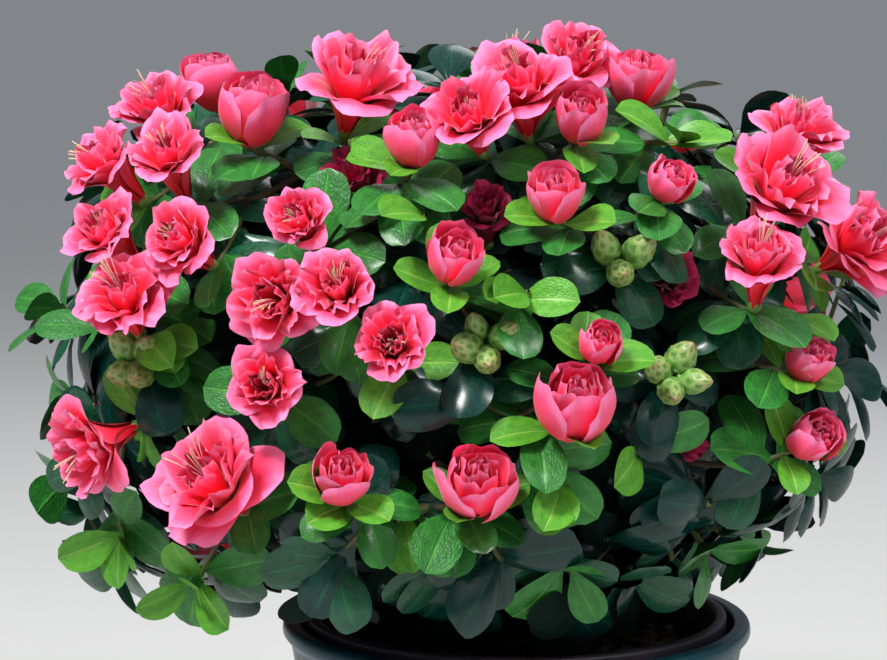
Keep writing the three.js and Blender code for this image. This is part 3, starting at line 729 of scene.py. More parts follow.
def grow_whorl(shoot, index, blossoms, room):
    """The leaves under a shoot's tip, in a spiral; one that finds no free place is left out."""
    draw = seeded("leaves", index)
    across, other = frame_about(shoot.axis, 0)
    tone = shoot.tone
    least, widening = LEAF_LEANS[shoot.kind]
    leaves = []
    for i in range(shoot.leaves or LEAVES[shoot.kind]):
        grade = min(max(tone, OLD_TONE), tone + (i + int(draw() * 2)) // TONE_LEAVES)
        shape = leaf_shape(grade, draw)
        place = 1 - (LEAF_FIRST + i * LEAF_STEP) / shoot.twig.length
        root = shoot.twig.at(max(place, ROOT_LEAST))
        for attempt in range(LEAF_TRIES):
            spin = i * GOLDEN_ANGLE + index + LEAF_RETURN * attempt + SPIN_CHANCE * draw()
            lean = least + widening * i + LEAN_CHANCE * (draw() - 0.5)
            tilt = math.radians(min(lean, LEAN_MOST))
            flat = math.cos(spin) * across + math.sin(spin) * other
            heading = math.sin(tilt) * flat + math.cos(tilt) * shoot.axis
            side = unit(np.cross(heading, shoot.axis))
            top = np.cross(side, heading)
            reached = np.array([
                root + part * shape["length"] * heading - fall * shape["length"] * top
                for part, fall in LEAF_TESTS
            ])
            if leaf_clear(reached, index, blossoms) and not room.taken(reached, index):
                room.take(reached, index)
                shape.update(root=root, heading=heading, side=side, top=top, inside=shoot.inside)
                leaves.append(shape)
                break
    return leaves


def side_by_side(sheets):
    """The values of all leaves or petals, each shaped to go with their grids of points."""
    return SimpleNamespace(**{
        key: np.array([sheet[key] for sheet in sheets], float)[:, None, None] for key in sheets[0]
    })


def leaf_points(leaves, columns, rows):
    """Every leaf's grid of points, from base to tip and from edge to edge."""
    v = np.arange(rows + 1) / rows
    v = v * (1.55 - 0.55 * v)
    before = np.sin(0.5 * math.pi * (v / LEAF_WIDEST).clip(0, 1)) ** 1.1
    past = ((v - LEAF_WIDEST) / (1 - LEAF_WIDEST)).clip(0, 1)
    outline = (before * np.sqrt(1 - past**2.3))[:, None]
    u = columns[None, :]
    part = v[:, None]
    each = side_by_side(leaves)
    half = np.maximum(0.5 * each.length * each.breadth * outline, LEAF_STALK * (1.15 - part))
    forward = each.length * np.sin(each.bend * part) / each.bend
    fall = each.length * (1 - np.cos(each.bend * part)) / each.bend
    across = half * u
    ripple = np.sin(3 * math.pi * part + each.phase + 1.2 * u)
    lift = each.fold * np.abs(across)
    lift -= each.curl * np.abs(u) ** 2.2 * half
    lift -= 0.35 * np.exp(-((u / 0.2) ** 2)) * (1 - part)
    lift += each.wave * ripple * np.abs(u) ** 1.5 * np.sqrt(outline)
    twist = each.twist * part
    x = across * np.cos(twist) - lift * np.sin(twist)
    z = across * np.sin(twist) + lift * np.cos(twist) - fall
    points = each.root + x[..., None] * each.side + z[..., None] * each.top
    points = points + forward[..., None] * each.heading
    return points, (columns + 1) / 2, v


def grid_mesh(name, points, material, across=None, along_sheet=None):
    """One mesh from many sheets of the same grid, in millimetres. Sheets that have places across and
    along them all get that same map from edge to edge."""
    count, rows, columns = points.shape[:3]
    corner = np.arange(rows * columns).reshape(rows, columns)
    quad = np.stack([corner[:-1, :-1], corner[:-1, 1:], corner[1:, 1:], corner[1:, :-1]], -1).reshape(-1, 4)
    quads = (quad[None] + (np.arange(count) * rows * columns)[:, None, None]).reshape(-1, 4)
    mesh = bpy.data.meshes.new(name)
    mesh.vertices.add(count * rows * columns)
    mesh.vertices.foreach_set("co", (points * MM).astype(np.float32).ravel())
    mesh.loops.add(quads.size)
    mesh.loops.foreach_set("vertex_index", quads.astype(np.int32).ravel())
    mesh.polygons.add(len(quads))
    mesh.polygons.foreach_set("loop_start", np.arange(0, quads.size, 4, dtype=np.int32))
    mesh.polygons.foreach_set("use_smooth", np.ones(len(quads), bool))
    if across is not None:
        spots = np.stack(np.meshgrid(across, along_sheet), -1).reshape(-1, 2)
        uv = np.tile(spots[quad.ravel()], (count, 1))
        mesh.uv_layers.new(name="OFBake").data.foreach_set("uv", uv.astype(np.float32).ravel())
    mesh.update(calc_edges=True)
    mesh.validate()
    mesh.materials.append(material)
    piece = bpy.data.objects.new(name, mesh)
    bpy.context.scene.collection.objects.link(piece)
    return piece


def dress(piece, nodes):
    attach(piece, "root")
    if nodes:
        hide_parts(*nodes)


def petal(flower, azimuth, profile, half_width, **extra):
    """One petal: profile is four points of a Bezier curve, distance from the axis and height."""
    shape = {
        "origin": flower.face, "ex": flower.ex, "ey": flower.ey, "ez": flower.axis,
        "azimuth": azimuth, "profile": profile, "half_width": half_width,
        "base_width": 2.6, "widest": 0.74, "rounding": 0.2, "cup": 0, "hold": 1.2, "left": 0, "right": 0,
        "lip": 0,
    }
    return {**shape, **extra}


def petal_points(petals):
    """Every petal's grid of points, from the tube's base to the rim."""
    each = side_by_side(petals)
    u = np.linspace(-1, 1, PETAL_COLUMNS + 1)
    u = np.sin(0.5 * math.pi * u) * 0.4 + 0.6 * u
    v = np.linspace(0, 1, PETAL_ROWS + 1) ** 0.85
    edge = 1 - each.rounding * np.abs(u) ** 3
    edge = edge + 0.018 * np.sin(4.5 * u + each.phase) + 0.012 * np.sin(9 * u + 2 * each.phase)
    s = v[:, None] * edge
    t = s[..., None]
    p0, p1, p2, p3 = (each.profile[..., i, :] for i in range(4))
    spot = (1 - t) ** 3 * p0 + 3 * t * (1 - t) ** 2 * p1 + 3 * t**2 * (1 - t) * p2 + t**3 * p3
    slope = 3 * (1 - t) ** 2 * (p1 - p0) + 6 * t * (1 - t) * (p2 - p1) + 3 * t**2 * (p3 - p2)
    slope = unit(slope)
    opening = np.sin(0.5 * math.pi * (s / each.widest).clip(0, 1)) ** 1.3
    past = ((s - each.widest) / (1 - each.widest)).clip(0, 1)
    width = each.base_width + (each.half_width - each.base_width) * opening
    x = width * (1 - 0.1 * past**2) * u
    waves = each.waves * math.pi
    frill = s**3 * (0.45 + 0.55 * np.abs(u))
    frill = frill * (np.sin(waves * u + each.phase) + 0.5 * np.sin(1.8 * waves * u + 2.1 * each.phase))
    lift = each.ruffle * frill
    lift += 0.35 * each.ruffle * s * np.sin(7 * s + 1.3 * each.phase) * np.cos(4.4 * u + each.phase)
    lift += each.cup * u**2 * s + each.lap * u * np.sqrt(s)
    lift += (each.left * (-u).clip(0, 1) ** 2 + each.right * u.clip(0, 1) ** 2) * s**1.5
    lift -= each.lip * s**6
    lift -= 0.7 * np.exp(-((u / 0.14) ** 2)) * s * (1 - s) * 2
    far = spot[..., 0] - lift * slope[..., 1]
    height = spot[..., 1] + lift * slope[..., 0]
    turn = each.azimuth + each.wrap * x / np.maximum(far, each.hold)
    aside = (1 - each.wrap) * x
    points = each.origin + (far * np.cos(turn) - aside * np.sin(turn))[..., None] * each.ex
    points = points + (far * np.sin(turn) + aside * np.cos(turn))[..., None] * each.ey
    return points + height[..., None] * each.ez, (u + 1) / 2, v


def open_flower(flower, draw):
    """A semi-double bloom: broad petals round a funnel, a ruffled whorl within, and a heart."""
    radius, depth = flower.width / 2, flower.depth
    rise = radius * draw(-0.1, 0.4)
    outer, inner = [], []
    for i in range(OPEN_PETALS):
        out = radius * draw(0.88, 0.3)
        up = rise + radius * draw(-0.25, 0.5)
        profile = [(1.6, -depth), (3.2, -0.45 * depth), (0.42 * out, up + 0.02 * radius), (out, up)]
        turn = TURN * (i + draw(-0.15, 0.3)) / OPEN_PETALS
        outer.append(petal(
            flower, turn, profile, radius * draw(0.54, 0.14),
            ruffle=radius * draw(0.05, 0.07), waves=draw(1.6, 1.4), phase=TURN * draw(),
            rounding=draw(0.16, 0.12), lap=0.9, lip=radius * draw(-0.06, 0.3), wrap=0.42,
            left=radius * draw(-0.153, 0.34), right=radius * draw(-0.153, 0.34),
        ))
    for i in range(RUFFLED_PETALS):
        out = radius * draw(0.6, 0.3)
        up = radius * draw(0.22, 0.34) + 0.4 * rise
        profile = [(1.4, -depth), (3, -0.4 * depth), (0.34 * radius, -0.02 * depth), (out, up)]
        turn = TURN * (i + 0.5 + draw(-0.2, 0.4)) / RUFFLED_PETALS
        inner.append(petal(
            flower, turn, profile, radius * draw(0.36, 0.12),
            ruffle=radius * draw(0.08, 0.08), waves=draw(1.8, 1.4), phase=TURN * draw(),
            lap=0.6, wrap=0.4, cup=0.1 * radius * draw(), lip=radius * draw(-0.1, 0.3),
            left=radius * draw(-0.105, 0.3), right=radius * draw(-0.105, 0.3),
        ))
    for i in range(HEART_PETALS):
        out = radius * draw(0.14, 0.36)
        up = radius * draw(0.34, 0.26) + 0.3 * rise
        profile = [(1.2, -depth), (2.4, -0.4 * depth), (0.34 * radius, 0.12 * radius), (out, up)]
        turn = TURN * (i + 0.6 * draw()) / HEART_PETALS
        inner.append(petal(
            flower, turn, profile, radius * draw(0.24, 0.12),
            ruffle=0.1 * radius, waves=draw(1.6, 1.2), phase=TURN * draw(), hold=0.3 * radius,
            rounding=0.22, lap=0.4, base_width=1.6, wrap=0.6, cup=0.14 * radius,
        ))
    return outer, inner


def furled_flower(flower, draw):
    """A half-open bloom: cupped petals wound over each other, the outermost turned back a little."""
    radius, depth = flower.width / 2, flower.depth
    opened = draw()
    outer, inner = [], []
    for i in range(FURLED_PETALS):
        layer = i / (FURLED_PETALS - 1)
        bulge = radius * (0.14 + 0.86 * layer) * draw(0.95, 0.1)
        mouth = radius * (0.05 + (0.5 + 0.3 * opened) * layer) * draw(0.9, 0.25)
        rise = radius * (0.56 - (0.12 + 0.34 * opened) * layer) * draw(0.86, 0.32)
        profile = [(1.5, -depth), (0.8 * bulge, -0.84 * depth), (1.25 * bulge, -0.1 * depth), (mouth, rise)]
        whorl = outer if layer > FURLED_INNER_SHARE else inner
        whorl.append(petal(
            flower, i * GOLDEN_ANGLE + draw(-0.15, 0.3), profile, bulge * (1.2 - 0.2 * layer),
            ruffle=radius * draw(0.05, 0.07), waves=draw(1.4, 1.3), phase=TURN * draw(),
            rounding=0.17, lap=0.5 + 0.4 * layer, wrap=0.97, hold=bulge, widest=0.55,
            lip=0.34 * radius * layer**1.6 * (0.3 + draw()), cup=-0.05 * radius,
        ))
    return outer, inner


def ring_angles(sides):
    return TURN * np.arange(sides + 1) / sides


def rings(centres, radius, side, other):
    """A ring of points about every centre; radius has a last axis that goes round each ring."""
    angle = ring_angles(radius.shape[-1] - 1)
    return (
        centres[..., None, :]
        + (radius * np.cos(angle))[..., None] * side[..., None, :]
        + (radius * np.sin(angle))[..., None] * other[..., None, :]
    )


def rings_along(paths, radius):
    """Rings about paths of points, square to each path."""
    tangent = unit(np.gradient(paths, axis=-2))
    least = np.eye(3)[np.argmin(np.abs(paths[..., -1, :] - paths[..., 0, :]), axis=-1)]
    side = unit(np.cross(tangent, least[..., None, :]))
    return rings(paths, radius, side, np.cross(tangent, side))


def tubes(name, paths, radii, sides, material):
    """Round limbs along paths of points; the map runs round them and along them."""
    paths = np.array(paths)
    radius = np.repeat(np.array(radii)[..., None], sides + 1, axis=-1)
    around, steps = np.linspace(0, 1, sides + 1), np.linspace(0, 1, paths.shape[1])
    return grid_mesh(name, rings_along(paths, radius), material, around, steps)


def twig_tubes(twigs, material):
    parts = np.linspace(0, 1, TWIG_STEPS + 1)
    paths = [curve.at(parts) for curve, _, _ in twigs]
    radii = [np.interp(run + parts * (end - run), TWIG_TAPER, TWIG_RADII) for _, run, end in twigs]
    return tubes("twigs", paths, radii, TWIG_SIDES, material)


def stamen_tubes(flowers, material):
    """Slender stamens that lean to one side of each open bloom; each has a thicker tip."""
    parts = np.linspace(0, 1, STAMEN_STEPS + 1)
    radii = STAMEN_RADIUS - STAMEN_TAPER * parts
    radii[-1] = STAMEN_RADIUS
    paths = []
    for flower, draw in flowers:
        lean = TURN * draw()
        face, axis, radius = flower.face, flower.axis, flower.width / 2
        for _ in range(STAMENS):
            turn = lean + draw(-0.95, 1.9)
            out = outward(flower, turn)
            height = radius * draw(0.55, 0.35)
            end = face + height * axis + radius * draw(0.1, 0.4) * out
            pull = face + 0.2 * radius * axis - 0.05 * radius * out
            paths.append(Curve(face - 0.8 * FLOWER_DEPTH * axis, pull, end).at(parts))
    return tubes("stamens", paths, [radii] * len(paths), STAMEN_SIDES, material)


def calyx_tubes(flowers, material):
    """A small green cup under each bloom, where it leaves its twig."""
    parts = np.linspace(-0.06, 0.2, len(CALYX_RADII))[:, None]
    paths = [flower.base + FLOWER_DEPTH * parts * flower.axis for flower in flowers]
    return tubes("calyxes", paths, [CALYX_RADII] * len(flowers), CALYX_SIDES, material)


def bud_points(shoots):
    """Plump green buds, three or four to a tip, each wrapped in overlapping scales."""
    t = np.linspace(0, 1, BUD_ROWS + 1)[:, None]
    half_turns = 0.5 * BUD_SCALES * ring_angles(BUD_SIDES)
    rise = 0.5 * BUD_WHORLS * t
    even = (rise + BUD_LOBE * np.abs(np.sin(half_turns))) % 1
    odd = (rise + 0.5 + BUD_LOBE * np.abs(np.cos(half_turns))) % 1
    scales = 0.84 + 0.26 * np.maximum(even, odd)
    swell = np.sin(math.pi * t**0.8).clip(0) ** 0.75
    points = []
    for index, shoot in shoots:
        draw = seeded("buds", index)
        count = 3 + int(2 * draw())
        for i in range(count):
            turn = TURN * i / count + 0.5 * draw()
            out = outward(shoot, turn)
            heading = unit(shoot.axis + 0.55 * out)
            length = BUD_LENGTH * draw(0.85, 0.3)
            girth = BUD_GIRTH * draw(0.85, 0.3)
            middle = shoot.base + 3 * out + 2 * shoot.axis + t * length * heading
            radius = np.maximum(girth * swell * scales, 0.15)
            points.append(rings(middle, radius, *frame_about(heading, 0)))
    return np.array(points), np.linspace(0, 1, BUD_SIDES + 1), t.ravel()


def bark_rings(curves, radius_at, grid, draw):
    """Limbs with the relief of bark: long ridges that wander, and knots."""
    sides, steps = grid
    part = np.linspace(0, 1, steps + 1)
    angle = ring_angles(sides)
    limbs = []
    for curve in curves:
        relief = np.zeros((steps + 1, sides + 1))
        for ridge in BARK_RIDGES:
            wander = 1.6 * np.sin(TURN * (part * draw(1, 2) + draw()))[:, None]
            relief += np.sin(ridge * angle + wander + TURN * draw()) * (3 / ridge)
        for ring in BARK_RINGS:
            knots = TURN * (ring * part + draw())[:, None]
            relief += 0.5 * np.sin(knots + 2 * np.sin(angle + TURN * draw()))
        radius = radius_at(part[:, None], angle) * (1 + BARK_RELIEF * relief)
        limbs.append(rings_along(curve.at(part), radius))
    return np.array(limbs)


def stem_radius(part, angle):
    flare = (1 - part / FLARE_HEIGHT).clip(0) ** 2
    lobes = 1 + FLARE_LOBE_DEPTH * flare * np.cos(FLARE_LOBES * angle)
    return np.interp(part, (0, 1), STEM_RADII) * (1 + FLARE * flare) * lobes


def bough_radius(part, _):
    return np.interp(part, (0, 1), BOUGH_RADII)


def make_bark(masses, material):
    """The stem with its root flare, cut flat at the soil, and a bough to each mass."""
    draw = seeded("bark")
    stem = bark_rings([STEM], stem_radius, STEM_GRID, draw)
    stem[..., 2] = np.maximum(stem[..., 2], STEM_FOOT[2])
    boughs = bark_rings([mass.bough for mass in masses], bough_radius, BOUGH_GRID, draw)
    dress(grid_mesh("stem_bark", stem, material), ["stem"])
    dress(grid_mesh("bough_bark", boughs, material), [f"bough_{mass.label}" for mass in masses])


class Nodes:
    """Short names for the nodes that a material or the sky is made of."""

    def __init__(self, owner):
        owner.use_nodes = True
        self.tree = owner.node_tree

    def feed(self, socket, value):
        """Links a socket to another, or sets it; None leaves it as it is."""
        if isinstance(value, bpy.types.NodeSocket):
            self.tree.links.new(value, socket)
        elif value is not None:
            socket.default_value = (*value, 1) if socket.type == "RGBA" else value

    def add(self, kind, *inputs, **settings):
        made = self.tree.nodes.new("ShaderNode" + kind)
        for key, value in settings.items():
            setattr(made, key, value)
        for socket, value in zip(made.inputs, inputs):
            self.feed(socket, value)
        return made

    def maths(self, operation, *inputs):
        return self.add("Math", *inputs, operation=operation).outputs[0]

    def plus(self, first, second):
        return self.maths("ADD", first, second)

    def minus(self, first, second):
        return self.maths("SUBTRACT", first, second)

    def times(self, first, second):
        return self.maths("MULTIPLY", first, second)

    def fit(self, value, low, high, first=0.0, last=1.0):
        """Runs from first to last as the value runs from low to high."""
        return self.add("MapRange", value, low, high, first, last, clamp=True).outputs[0]

    def noise(self, place, scale, detail):
        return self.add("TexNoise", place, None, scale, detail, 0.6).outputs[0]

    def stretched(self, place, scale):
        return self.add("Mapping", place, None, None, scale).outputs[0]

    def ramp(self, factor, stops):
        made = self.add("ValToRGB", factor)
        elements = made.color_ramp.elements
        while len(elements) < len(stops):
            elements.new(0.5)
        for element, (position, colour) in zip(elements, stops):
            element.position = position
            element.color = (*colour, 1)
        return made.outputs[0]

    def mix(self, factor, first, second):
        """Mixes two colours; the node's five sockets before those are for numbers and vectors."""
        return self.add("Mix", factor, *[None] * 5, first, second, data_type="RGBA").outputs[2]


class Look(Nodes):
    """A material and its shader."""

    def __init__(self, name, **settings):
        self.material = bpy.data.materials.new(name)
        super().__init__(self.material)
        self.shader = self.tree.nodes["Principled BSDF"]
        for socket, value in settings.items():
            self.shader.inputs[socket.replace("_", " ")].default_value = value

    def colour(self, value):
        self.feed(self.shader.inputs["Base Color"], value)

    def bump(self, height, strength, distance):
        made = self.add("Bump")
        for name, value in (("Strength", strength), ("Distance", distance), ("Height", height)):
            self.feed(made.inputs[name], value)
        self.feed(self.shader.inputs["Normal"], made.outputs["Normal"])

    def sheet_map(self):
        """A spot's place on its leaf or petal, then how far across and along, each from 0 to 1."""
        place = self.add("UVMap", uv_map="OFBake").outputs[0]
        parts = self.add("SeparateXYZ", place)
        return place, parts.outputs[0], parts.outputs[1]

    def aside(self, across):
        return self.maths("ABSOLUTE", self.minus(across, 0.5))


def leaf_material(name, blade, vein, edge, roughness, gloss, coat, relief):
    """A leaf with a pale midrib, side veins between raised cushions, and the edge colour clouded into the
    blade by noise.
    """
    look = Look(name, Roughness=roughness, Coat_Weight=coat, Coat_Roughness=0.2, Specular_IOR_Level=gloss)
    place, across, along_leaf = look.sheet_map()
    aside = look.aside(across)
    midrib = look.fit(aside, 0.012, 0.05, 1.0, 0.0)
    run = look.minus(look.times(along_leaf, SIDE_VEINS), look.times(aside, SIDE_VEIN_SLANT))
    stripe = look.maths("ABSOLUTE", look.minus(look.maths("FRACT", run), 0.5))
    fade = look.fit(aside, 0.1, 0.48, 0.4, 0.05)
    lines = look.maths("MAXIMUM", midrib, look.times(look.fit(stripe, 0.42, 0.5), fade))
    ground = look.mix(look.fit(look.noise(place, 5.0, 3.0), 0.35, 0.65), blade, edge)
    look.colour(look.mix(look.times(lines, 0.6), ground, vein))
    cushions = look.add("TexVoronoi", place, None, 22.0).outputs[0]
    look.bump(look.minus(look.times(cushions, -0.5), lines), 0.7, relief)
    return look.material


def petal_material(name, stops):
    """A petal that runs from a deep throat to a pale rim, with fine streaks along it."""
    look = Look(name, Roughness=0.5, Specular_IOR_Level=0.35, Sheen_Weight=0.15, Sheen_Roughness=0.4)
    place, across, along_petal = look.sheet_map()
    streaks = look.noise(look.stretched(place, (26, 1.6, 1)), 1.0, 3.0)
    shift = look.times(look.minus(streaks, 0.5), 0.1)
    toward_rim = look.times(look.maths("POWER", look.times(look.aside(across), 2.0), 3.0), 0.16)
    look.colour(look.ramp(look.plus(look.plus(along_petal, shift), toward_rim), stops))
    look.bump(streaks, 0.35, 0.0006)
    return look.material


def stalk_material(name, stops, roughness, relief):
    """Colours along a twig, stamen or calyx, by its own map."""
    look = Look(name, Roughness=roughness)
    place, _, along_stalk = look.sheet_map()
    grain = look.noise(look.stretched(place, (6, 14, 1)), 2.0, 4.0)
    look.colour(look.ramp(look.plus(along_stalk, look.times(look.minus(grain, 0.5), 0.25)), stops))
    if relief:
        look.bump(grain, 0.5, relief)
    return look.material


def bud_material():
    """Colours along a bud, with painted shade in the seam where a scale ends, and a brown edge before it."""
    look = Look("bud", Roughness=0.45)
    _, across, along_bud = look.sheet_map()
    turn = look.times(across, math.pi * BUD_SCALES)
    step = look.times(along_bud, 0.5 * BUD_WHORLS)

    def whorls(operation, start):
        lobe = look.times(look.maths("ABSOLUTE", look.maths(operation, turn)), BUD_LOBE)
        return look.maths("FRACT", look.plus(look.plus(step, lobe), start))

    scale = look.maths("MAXIMUM", whorls("SINE", 0.0), whorls("COSINE", 0.5))
    seam_shade = look.ramp(scale, [(0.5, (1, 1, 1)), (0.6, (0, 0, 0))])
    edge = look.ramp(scale, [(0.86, (0, 0, 0)), (1, (0.5, 0.5, 0.5))])
    body = look.mix(seam_shade, look.ramp(along_bud, BUD_COLOURS), BUD_SEAM_SHADE)
    look.colour(look.mix(edge, body, BUD_TIP))
    return look.material


def clouded_material(name, **settings):
    """A solid's finish: two colours clouded into each other and a fine relief."""
    first, second, scale, roughness, relief = SOLID_LOOKS[name]
    look = Look(name, Roughness=roughness, **settings)
    place = look.add("TexCoord").outputs["Object"]
    look.colour(look.mix(look.fit(look.noise(place, scale, 5.0), 0.35, 0.65), first, second))
    look.bump(look.noise(place, 6 * scale, 4.0), 0.5, relief)
    return look.material


def round_profile(corners, steps):
    """A smooth line through corners, with each corner cut by a short curve."""
    corners = np.array(corners, float)
    line = [corners[0]]
    for before, corner, after in zip(corners[:-2], corners[1:-1], corners[2:]):
        run = min(np.linalg.norm(corner - before), np.linalg.norm(after - corner)) * 0.45
        start = corner + run * unit(before - corner)
        end = corner + run * unit(after - corner)
        line += list(bezier(start, corner, end, np.linspace(0, 1, steps)[:, None]))
    line.append(corners[-1])
    return np.array(line)


def lathe(name, profile, relief, material):
    """A turned piece in metres; relief changes each point's radius, row by row round the piece."""
    points = rings(profile[:, 1:] * UP, profile[:, :1] + relief, RIGHT, BACK)
    piece = grid_mesh(name, points[None] / MM, material)
    piece.modifiers.new("weld", "WELD").merge_threshold = 1e-6
    return piece


def make_cover_pot(material):
    """The tapered outer pot, with a rolled lip and fine ribs on its wall."""
    rim, _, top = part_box("cover_pot")[1]
    inside = rim - COVER_LIP - COVER_WALL
    knee = COVER_KNEE * top
    profile = round_profile([
        (AXIS_HOLE, 0), (COVER_FOOT - 0.002, 0), (COVER_FOOT, 0.002), (COVER_FOOT + 0.012, knee),
        (rim - COVER_LIP, top - 2.4 * COVER_LIP), (rim, top - 1.6 * COVER_LIP), (rim - 0.0008, top),
        (inside + 0.001, top), (inside, top - 0.003), (COVER_FOOT + 0.007, knee),
        (COVER_FOOT - COVER_WALL, COVER_FLOOR), (AXIS_HOLE, COVER_FLOOR),
    ], 7)
    radius, height = profile[:, :1], profile[:, 1:]
    on_wall = (height > RIB_START) & (height < top - 3 * COVER_LIP) & (radius > COVER_FOOT - 0.002)
    ribs = np.where(on_wall, RIB_DEPTH * np.cos(RIBS * ring_angles(COVER_SIDES)), 0)
    dress(lathe("cover_pot_dressed", profile, ribs, material), ["cover_pot"])


def make_inner_pot(material):
    """The thin dark pot that the plant was grown in, with a band round its rim."""
    (_, _, foot), (rim, _, top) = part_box("grower_pot")
    inside = rim - INNER_WALL
    profile = round_profile([
        (AXIS_HOLE, foot), (INNER_FOOT, foot), (rim - 0.0035, top - INNER_BAND),
        (rim, top - INNER_BAND + 0.0005), (rim, top - 0.001), (rim - 0.0015, top), (inside - 0.002, top),
        (inside - 0.003, top - 0.002), (rim - 0.0095, top - 0.018), (INNER_FOOT - 0.0025, foot + INNER_WALL),
        (AXIS_HOLE, foot + INNER_WALL),
    ], 5)
    plain = np.zeros((len(profile), INNER_SIDES + 1))
    dress(lathe("grower_pot_dressed", profile, plain, material), ["grower_pot"])


def make_soil(material):
    """Moist peat: a lumpy disc, in metres, with crumbs on it."""
    edge, _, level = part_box("soil")[1]
    draw = np.random.default_rng(SEEDS["soil"])
    radius = np.linspace(AXIS_HOLE, edge, SOIL_RINGS + 1)[:, None]
    angle = ring_angles(SOIL_SIDES)
    x, y = radius * np.cos(angle), radius * np.sin(angle)
    lumps = 0
    for _ in range(SOIL_LUMPS):
        size = draw.uniform(*SOIL_LUMP_WAVES)
        turn = TURN * draw.random()
        wave = np.sin(size * (x * math.cos(turn) + y * math.sin(turn)) + TURN * draw.random())
        lumps = lumps + SOIL_ROUGHNESS * wave / math.sqrt(size)
    top = level - SOIL_DROP + lumps - SOIL_DROP * (radius / edge) ** 4
    ground = np.stack([x, y, np.minimum(top, level)], -1)
    dress(grid_mesh("soil_surface", ground[None] / MM, material), ["soil"])
    t = np.linspace(0, 1, CRUMB_ROWS + 1)[:, None]
    crumbs = []
    for _ in range(CRUMBS):
        middle = 0.97 * edge * math.sqrt(draw.random()) * towards(TURN * draw.random(), 0)
        size = CRUMB_SIZE + CRUMB_SPREAD * draw.random() ** 2
        jag = 1 + CRUMB_JAG * (draw.random((CRUMB_ROWS + 1, CRUMB_SIDES + 1)) - 0.5)
        jag[:, -1] = jag[:, 0]
        swell = np.sin(math.pi * t.clip(0.02, 0.98)) * size * jag
        height = (t - 0.5) * CRUMB_HEIGHT * size + level - CRUMB_SINK
        crumbs.append(rings(middle + height * UP, swell, RIGHT, BACK))
    dress(grid_mesh("soil_crumbs", np.array(crumbs) / MM, material), [])


def leaf_pieces(leaves):
    """A piece for each age of leaf, and another for those inside the crown, on a coarser grid."""
    for tone, (name, look) in enumerate(LEAF_LOOKS.items()):
        material = leaf_material(f"leaf_{name}", *look)
        for inside, ending, columns, rows in (
            (False, "", LEAF_COLUMNS, LEAF_ROWS), (True, "_inner", LEAF_INNER_COLUMNS, LEAF_INNER_ROWS),
        ):
            group = [leaf for leaf in leaves if leaf["tone"] == tone and leaf["inside"] == inside]
            if group:
                points, *places = leaf_points(group, columns, rows)
                yield grid_mesh(f"leaves_{name}{ending}", points, material, *places)


def flower_pieces(blooming):
    looks = {name: petal_material(f"petal_{name}", stops) for name, stops in PETAL_COLOURS.items()}
    groups = {name: [] for name in PETAL_LOOKS}
    stamens = []
    for index, shoot in blooming:
        draw = seeded("petals", index)
        make = furled_flower if shoot.kind == "half" else open_flower
        for name, petals in zip(PETAL_PIECES[shoot.kind], make(shoot, draw)):
            groups[name] += petals
        if shoot.kind == "open":
            stamens.append((shoot, draw))
    for name, group in groups.items():
        points, *places = petal_points(group)
        yield grid_mesh(name, points, looks[PETAL_LOOKS[name]], *places)
    yield stamen_tubes(stamens, stalk_material("stamen", STAMEN_COLOURS, 0.5, 0))


def grow_shoots():
    """Every shoot and spray, with the way that it faces, its own frame and the age of its leaves."""
    shoots = make_shoots()
    everything = shoots + make_sprays(shoots) + make_skirt()
    for index, shoot in enumerate(everything):
        if shoot.kind in FLOWERS:
            lean_flower(shoot, index)
        draw = seeded("spins", index)
        shoot.ex, shoot.ey = frame_about(shoot.axis, TURN * draw())
        if shoot.tone is None:
            shoot.tone = pick(SHOOT_TONES[shoot.kind], draw())
    return everything


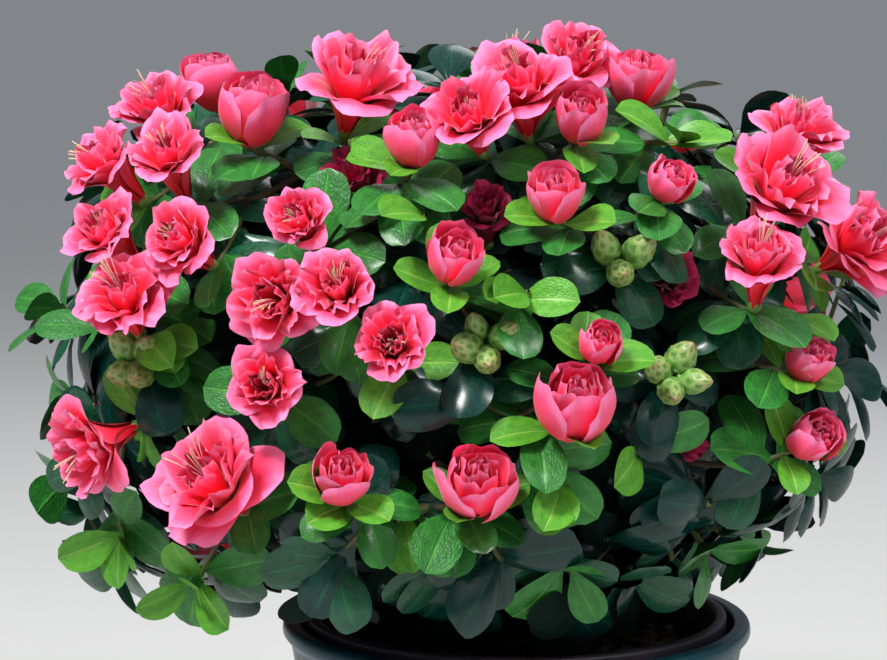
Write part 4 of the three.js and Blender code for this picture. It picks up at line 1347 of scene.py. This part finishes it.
def make_plant():
    everything = grow_shoots()
    masses = make_masses()
    share_out(everything, masses)
    twigs = [twig for index, mass in enumerate(masses) for twig in grow_twigs(mass, index)]
    nodes = [f"mass_{mass.label}" for mass in masses]
    blossoms, room, leaves = kept_clear(everything), Room(), []
    for index, shoot in enumerate(everything):
        leaves += grow_whorl(shoot, index, blossoms, room)
    blooming = [(i, shoot) for i, shoot in enumerate(everything) if shoot.kind in FLOWERS]
    budding = [(i, shoot) for i, shoot in enumerate(everything) if shoot.kind == "buds"]
    points, *places = bud_points(budding)
    for piece in (
        *leaf_pieces(leaves),
        *flower_pieces(blooming),
        grid_mesh("buds", points, bud_material(), *places),
        calyx_tubes([shoot for _, shoot in blooming], stalk_material("calyx", CALYX_COLOURS, 0.5, 0)),
        twig_tubes(twigs, stalk_material("twig_bark", TWIG_COLOURS, 0.7, 0.0006)),
    ):
        dress(piece, nodes)
    make_cover_pot(clouded_material("cover_pot", Coat_Weight=0.08, Specular_IOR_Level=0.3))
    make_inner_pot(clouded_material("grower_pot"))
    make_soil(clouded_material("soil"))
    make_bark(masses, clouded_material("bark"))


def place_in_scene(name, data, place, target):
    """Puts a lamp or the camera in the scene and turns it to a target."""
    thing = bpy.data.objects.new(name, data)
    thing.location = place
    thing.rotation_euler = (Vector(target) - Vector(place)).to_track_quat("-Z", "Y").to_euler()
    bpy.context.scene.collection.objects.link(thing)
    return thing


def make_stage():
    """A wide floor under a sky that is brightest overhead. The eye sees the sky in the far floor's
    colour, so that no horizon shows."""
    bpy.ops.mesh.primitive_plane_add(size=FLOOR_SIZE, location=(0, 0, 0))
    floor = bpy.context.object
    floor.name = "floor"
    look = Look("floor", Roughness=1.0, Specular_IOR_Level=0.0)
    look.colour(FLOOR_COLOUR)
    floor.data.materials.append(look.material)
    floor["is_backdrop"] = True
    world = bpy.data.worlds.new("daylight")
    light = Nodes(world)
    seen = tuple(pale * (low + 2 * high) / 3 for pale, low, high in zip(FLOOR_COLOUR, SKY_LOW, SKY_HIGH))
    upward = light.add("SeparateXYZ", light.add("TexCoord").outputs["Generated"]).outputs[2]
    sky = light.mix(light.maths("MAXIMUM", upward, 0.0), SKY_LOW, SKY_HIGH)
    direct = light.add("LightPath").outputs["Is Camera Ray"]
    light.feed(light.tree.nodes["Background"].inputs[0], light.mix(direct, sky, seen))
    bpy.context.scene.world = world
    for name, place, power, size in LAMPS:
        lamp = bpy.data.lights.new(name, "AREA")
        lamp.energy = power
        lamp.size = size
        place_in_scene(name, lamp, place, LAMP_TARGET)


def make_camera():
    camera = bpy.data.cameras.new("camera")
    camera.sensor_width = SENSOR
    camera.lens = LENS
    bpy.context.scene.camera = place_in_scene("camera", camera, MM * EYE, CAMERA_TARGET)


make_camera()
make_stage()
make_plant()
bpy.context.scene.view_settings.view_transform = "Standard"
sizes = {"cad": CAD_BOX, "visual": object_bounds()}
{name: [[float(x) for x in corner] for corner in box] for name, box in sizes.items()}
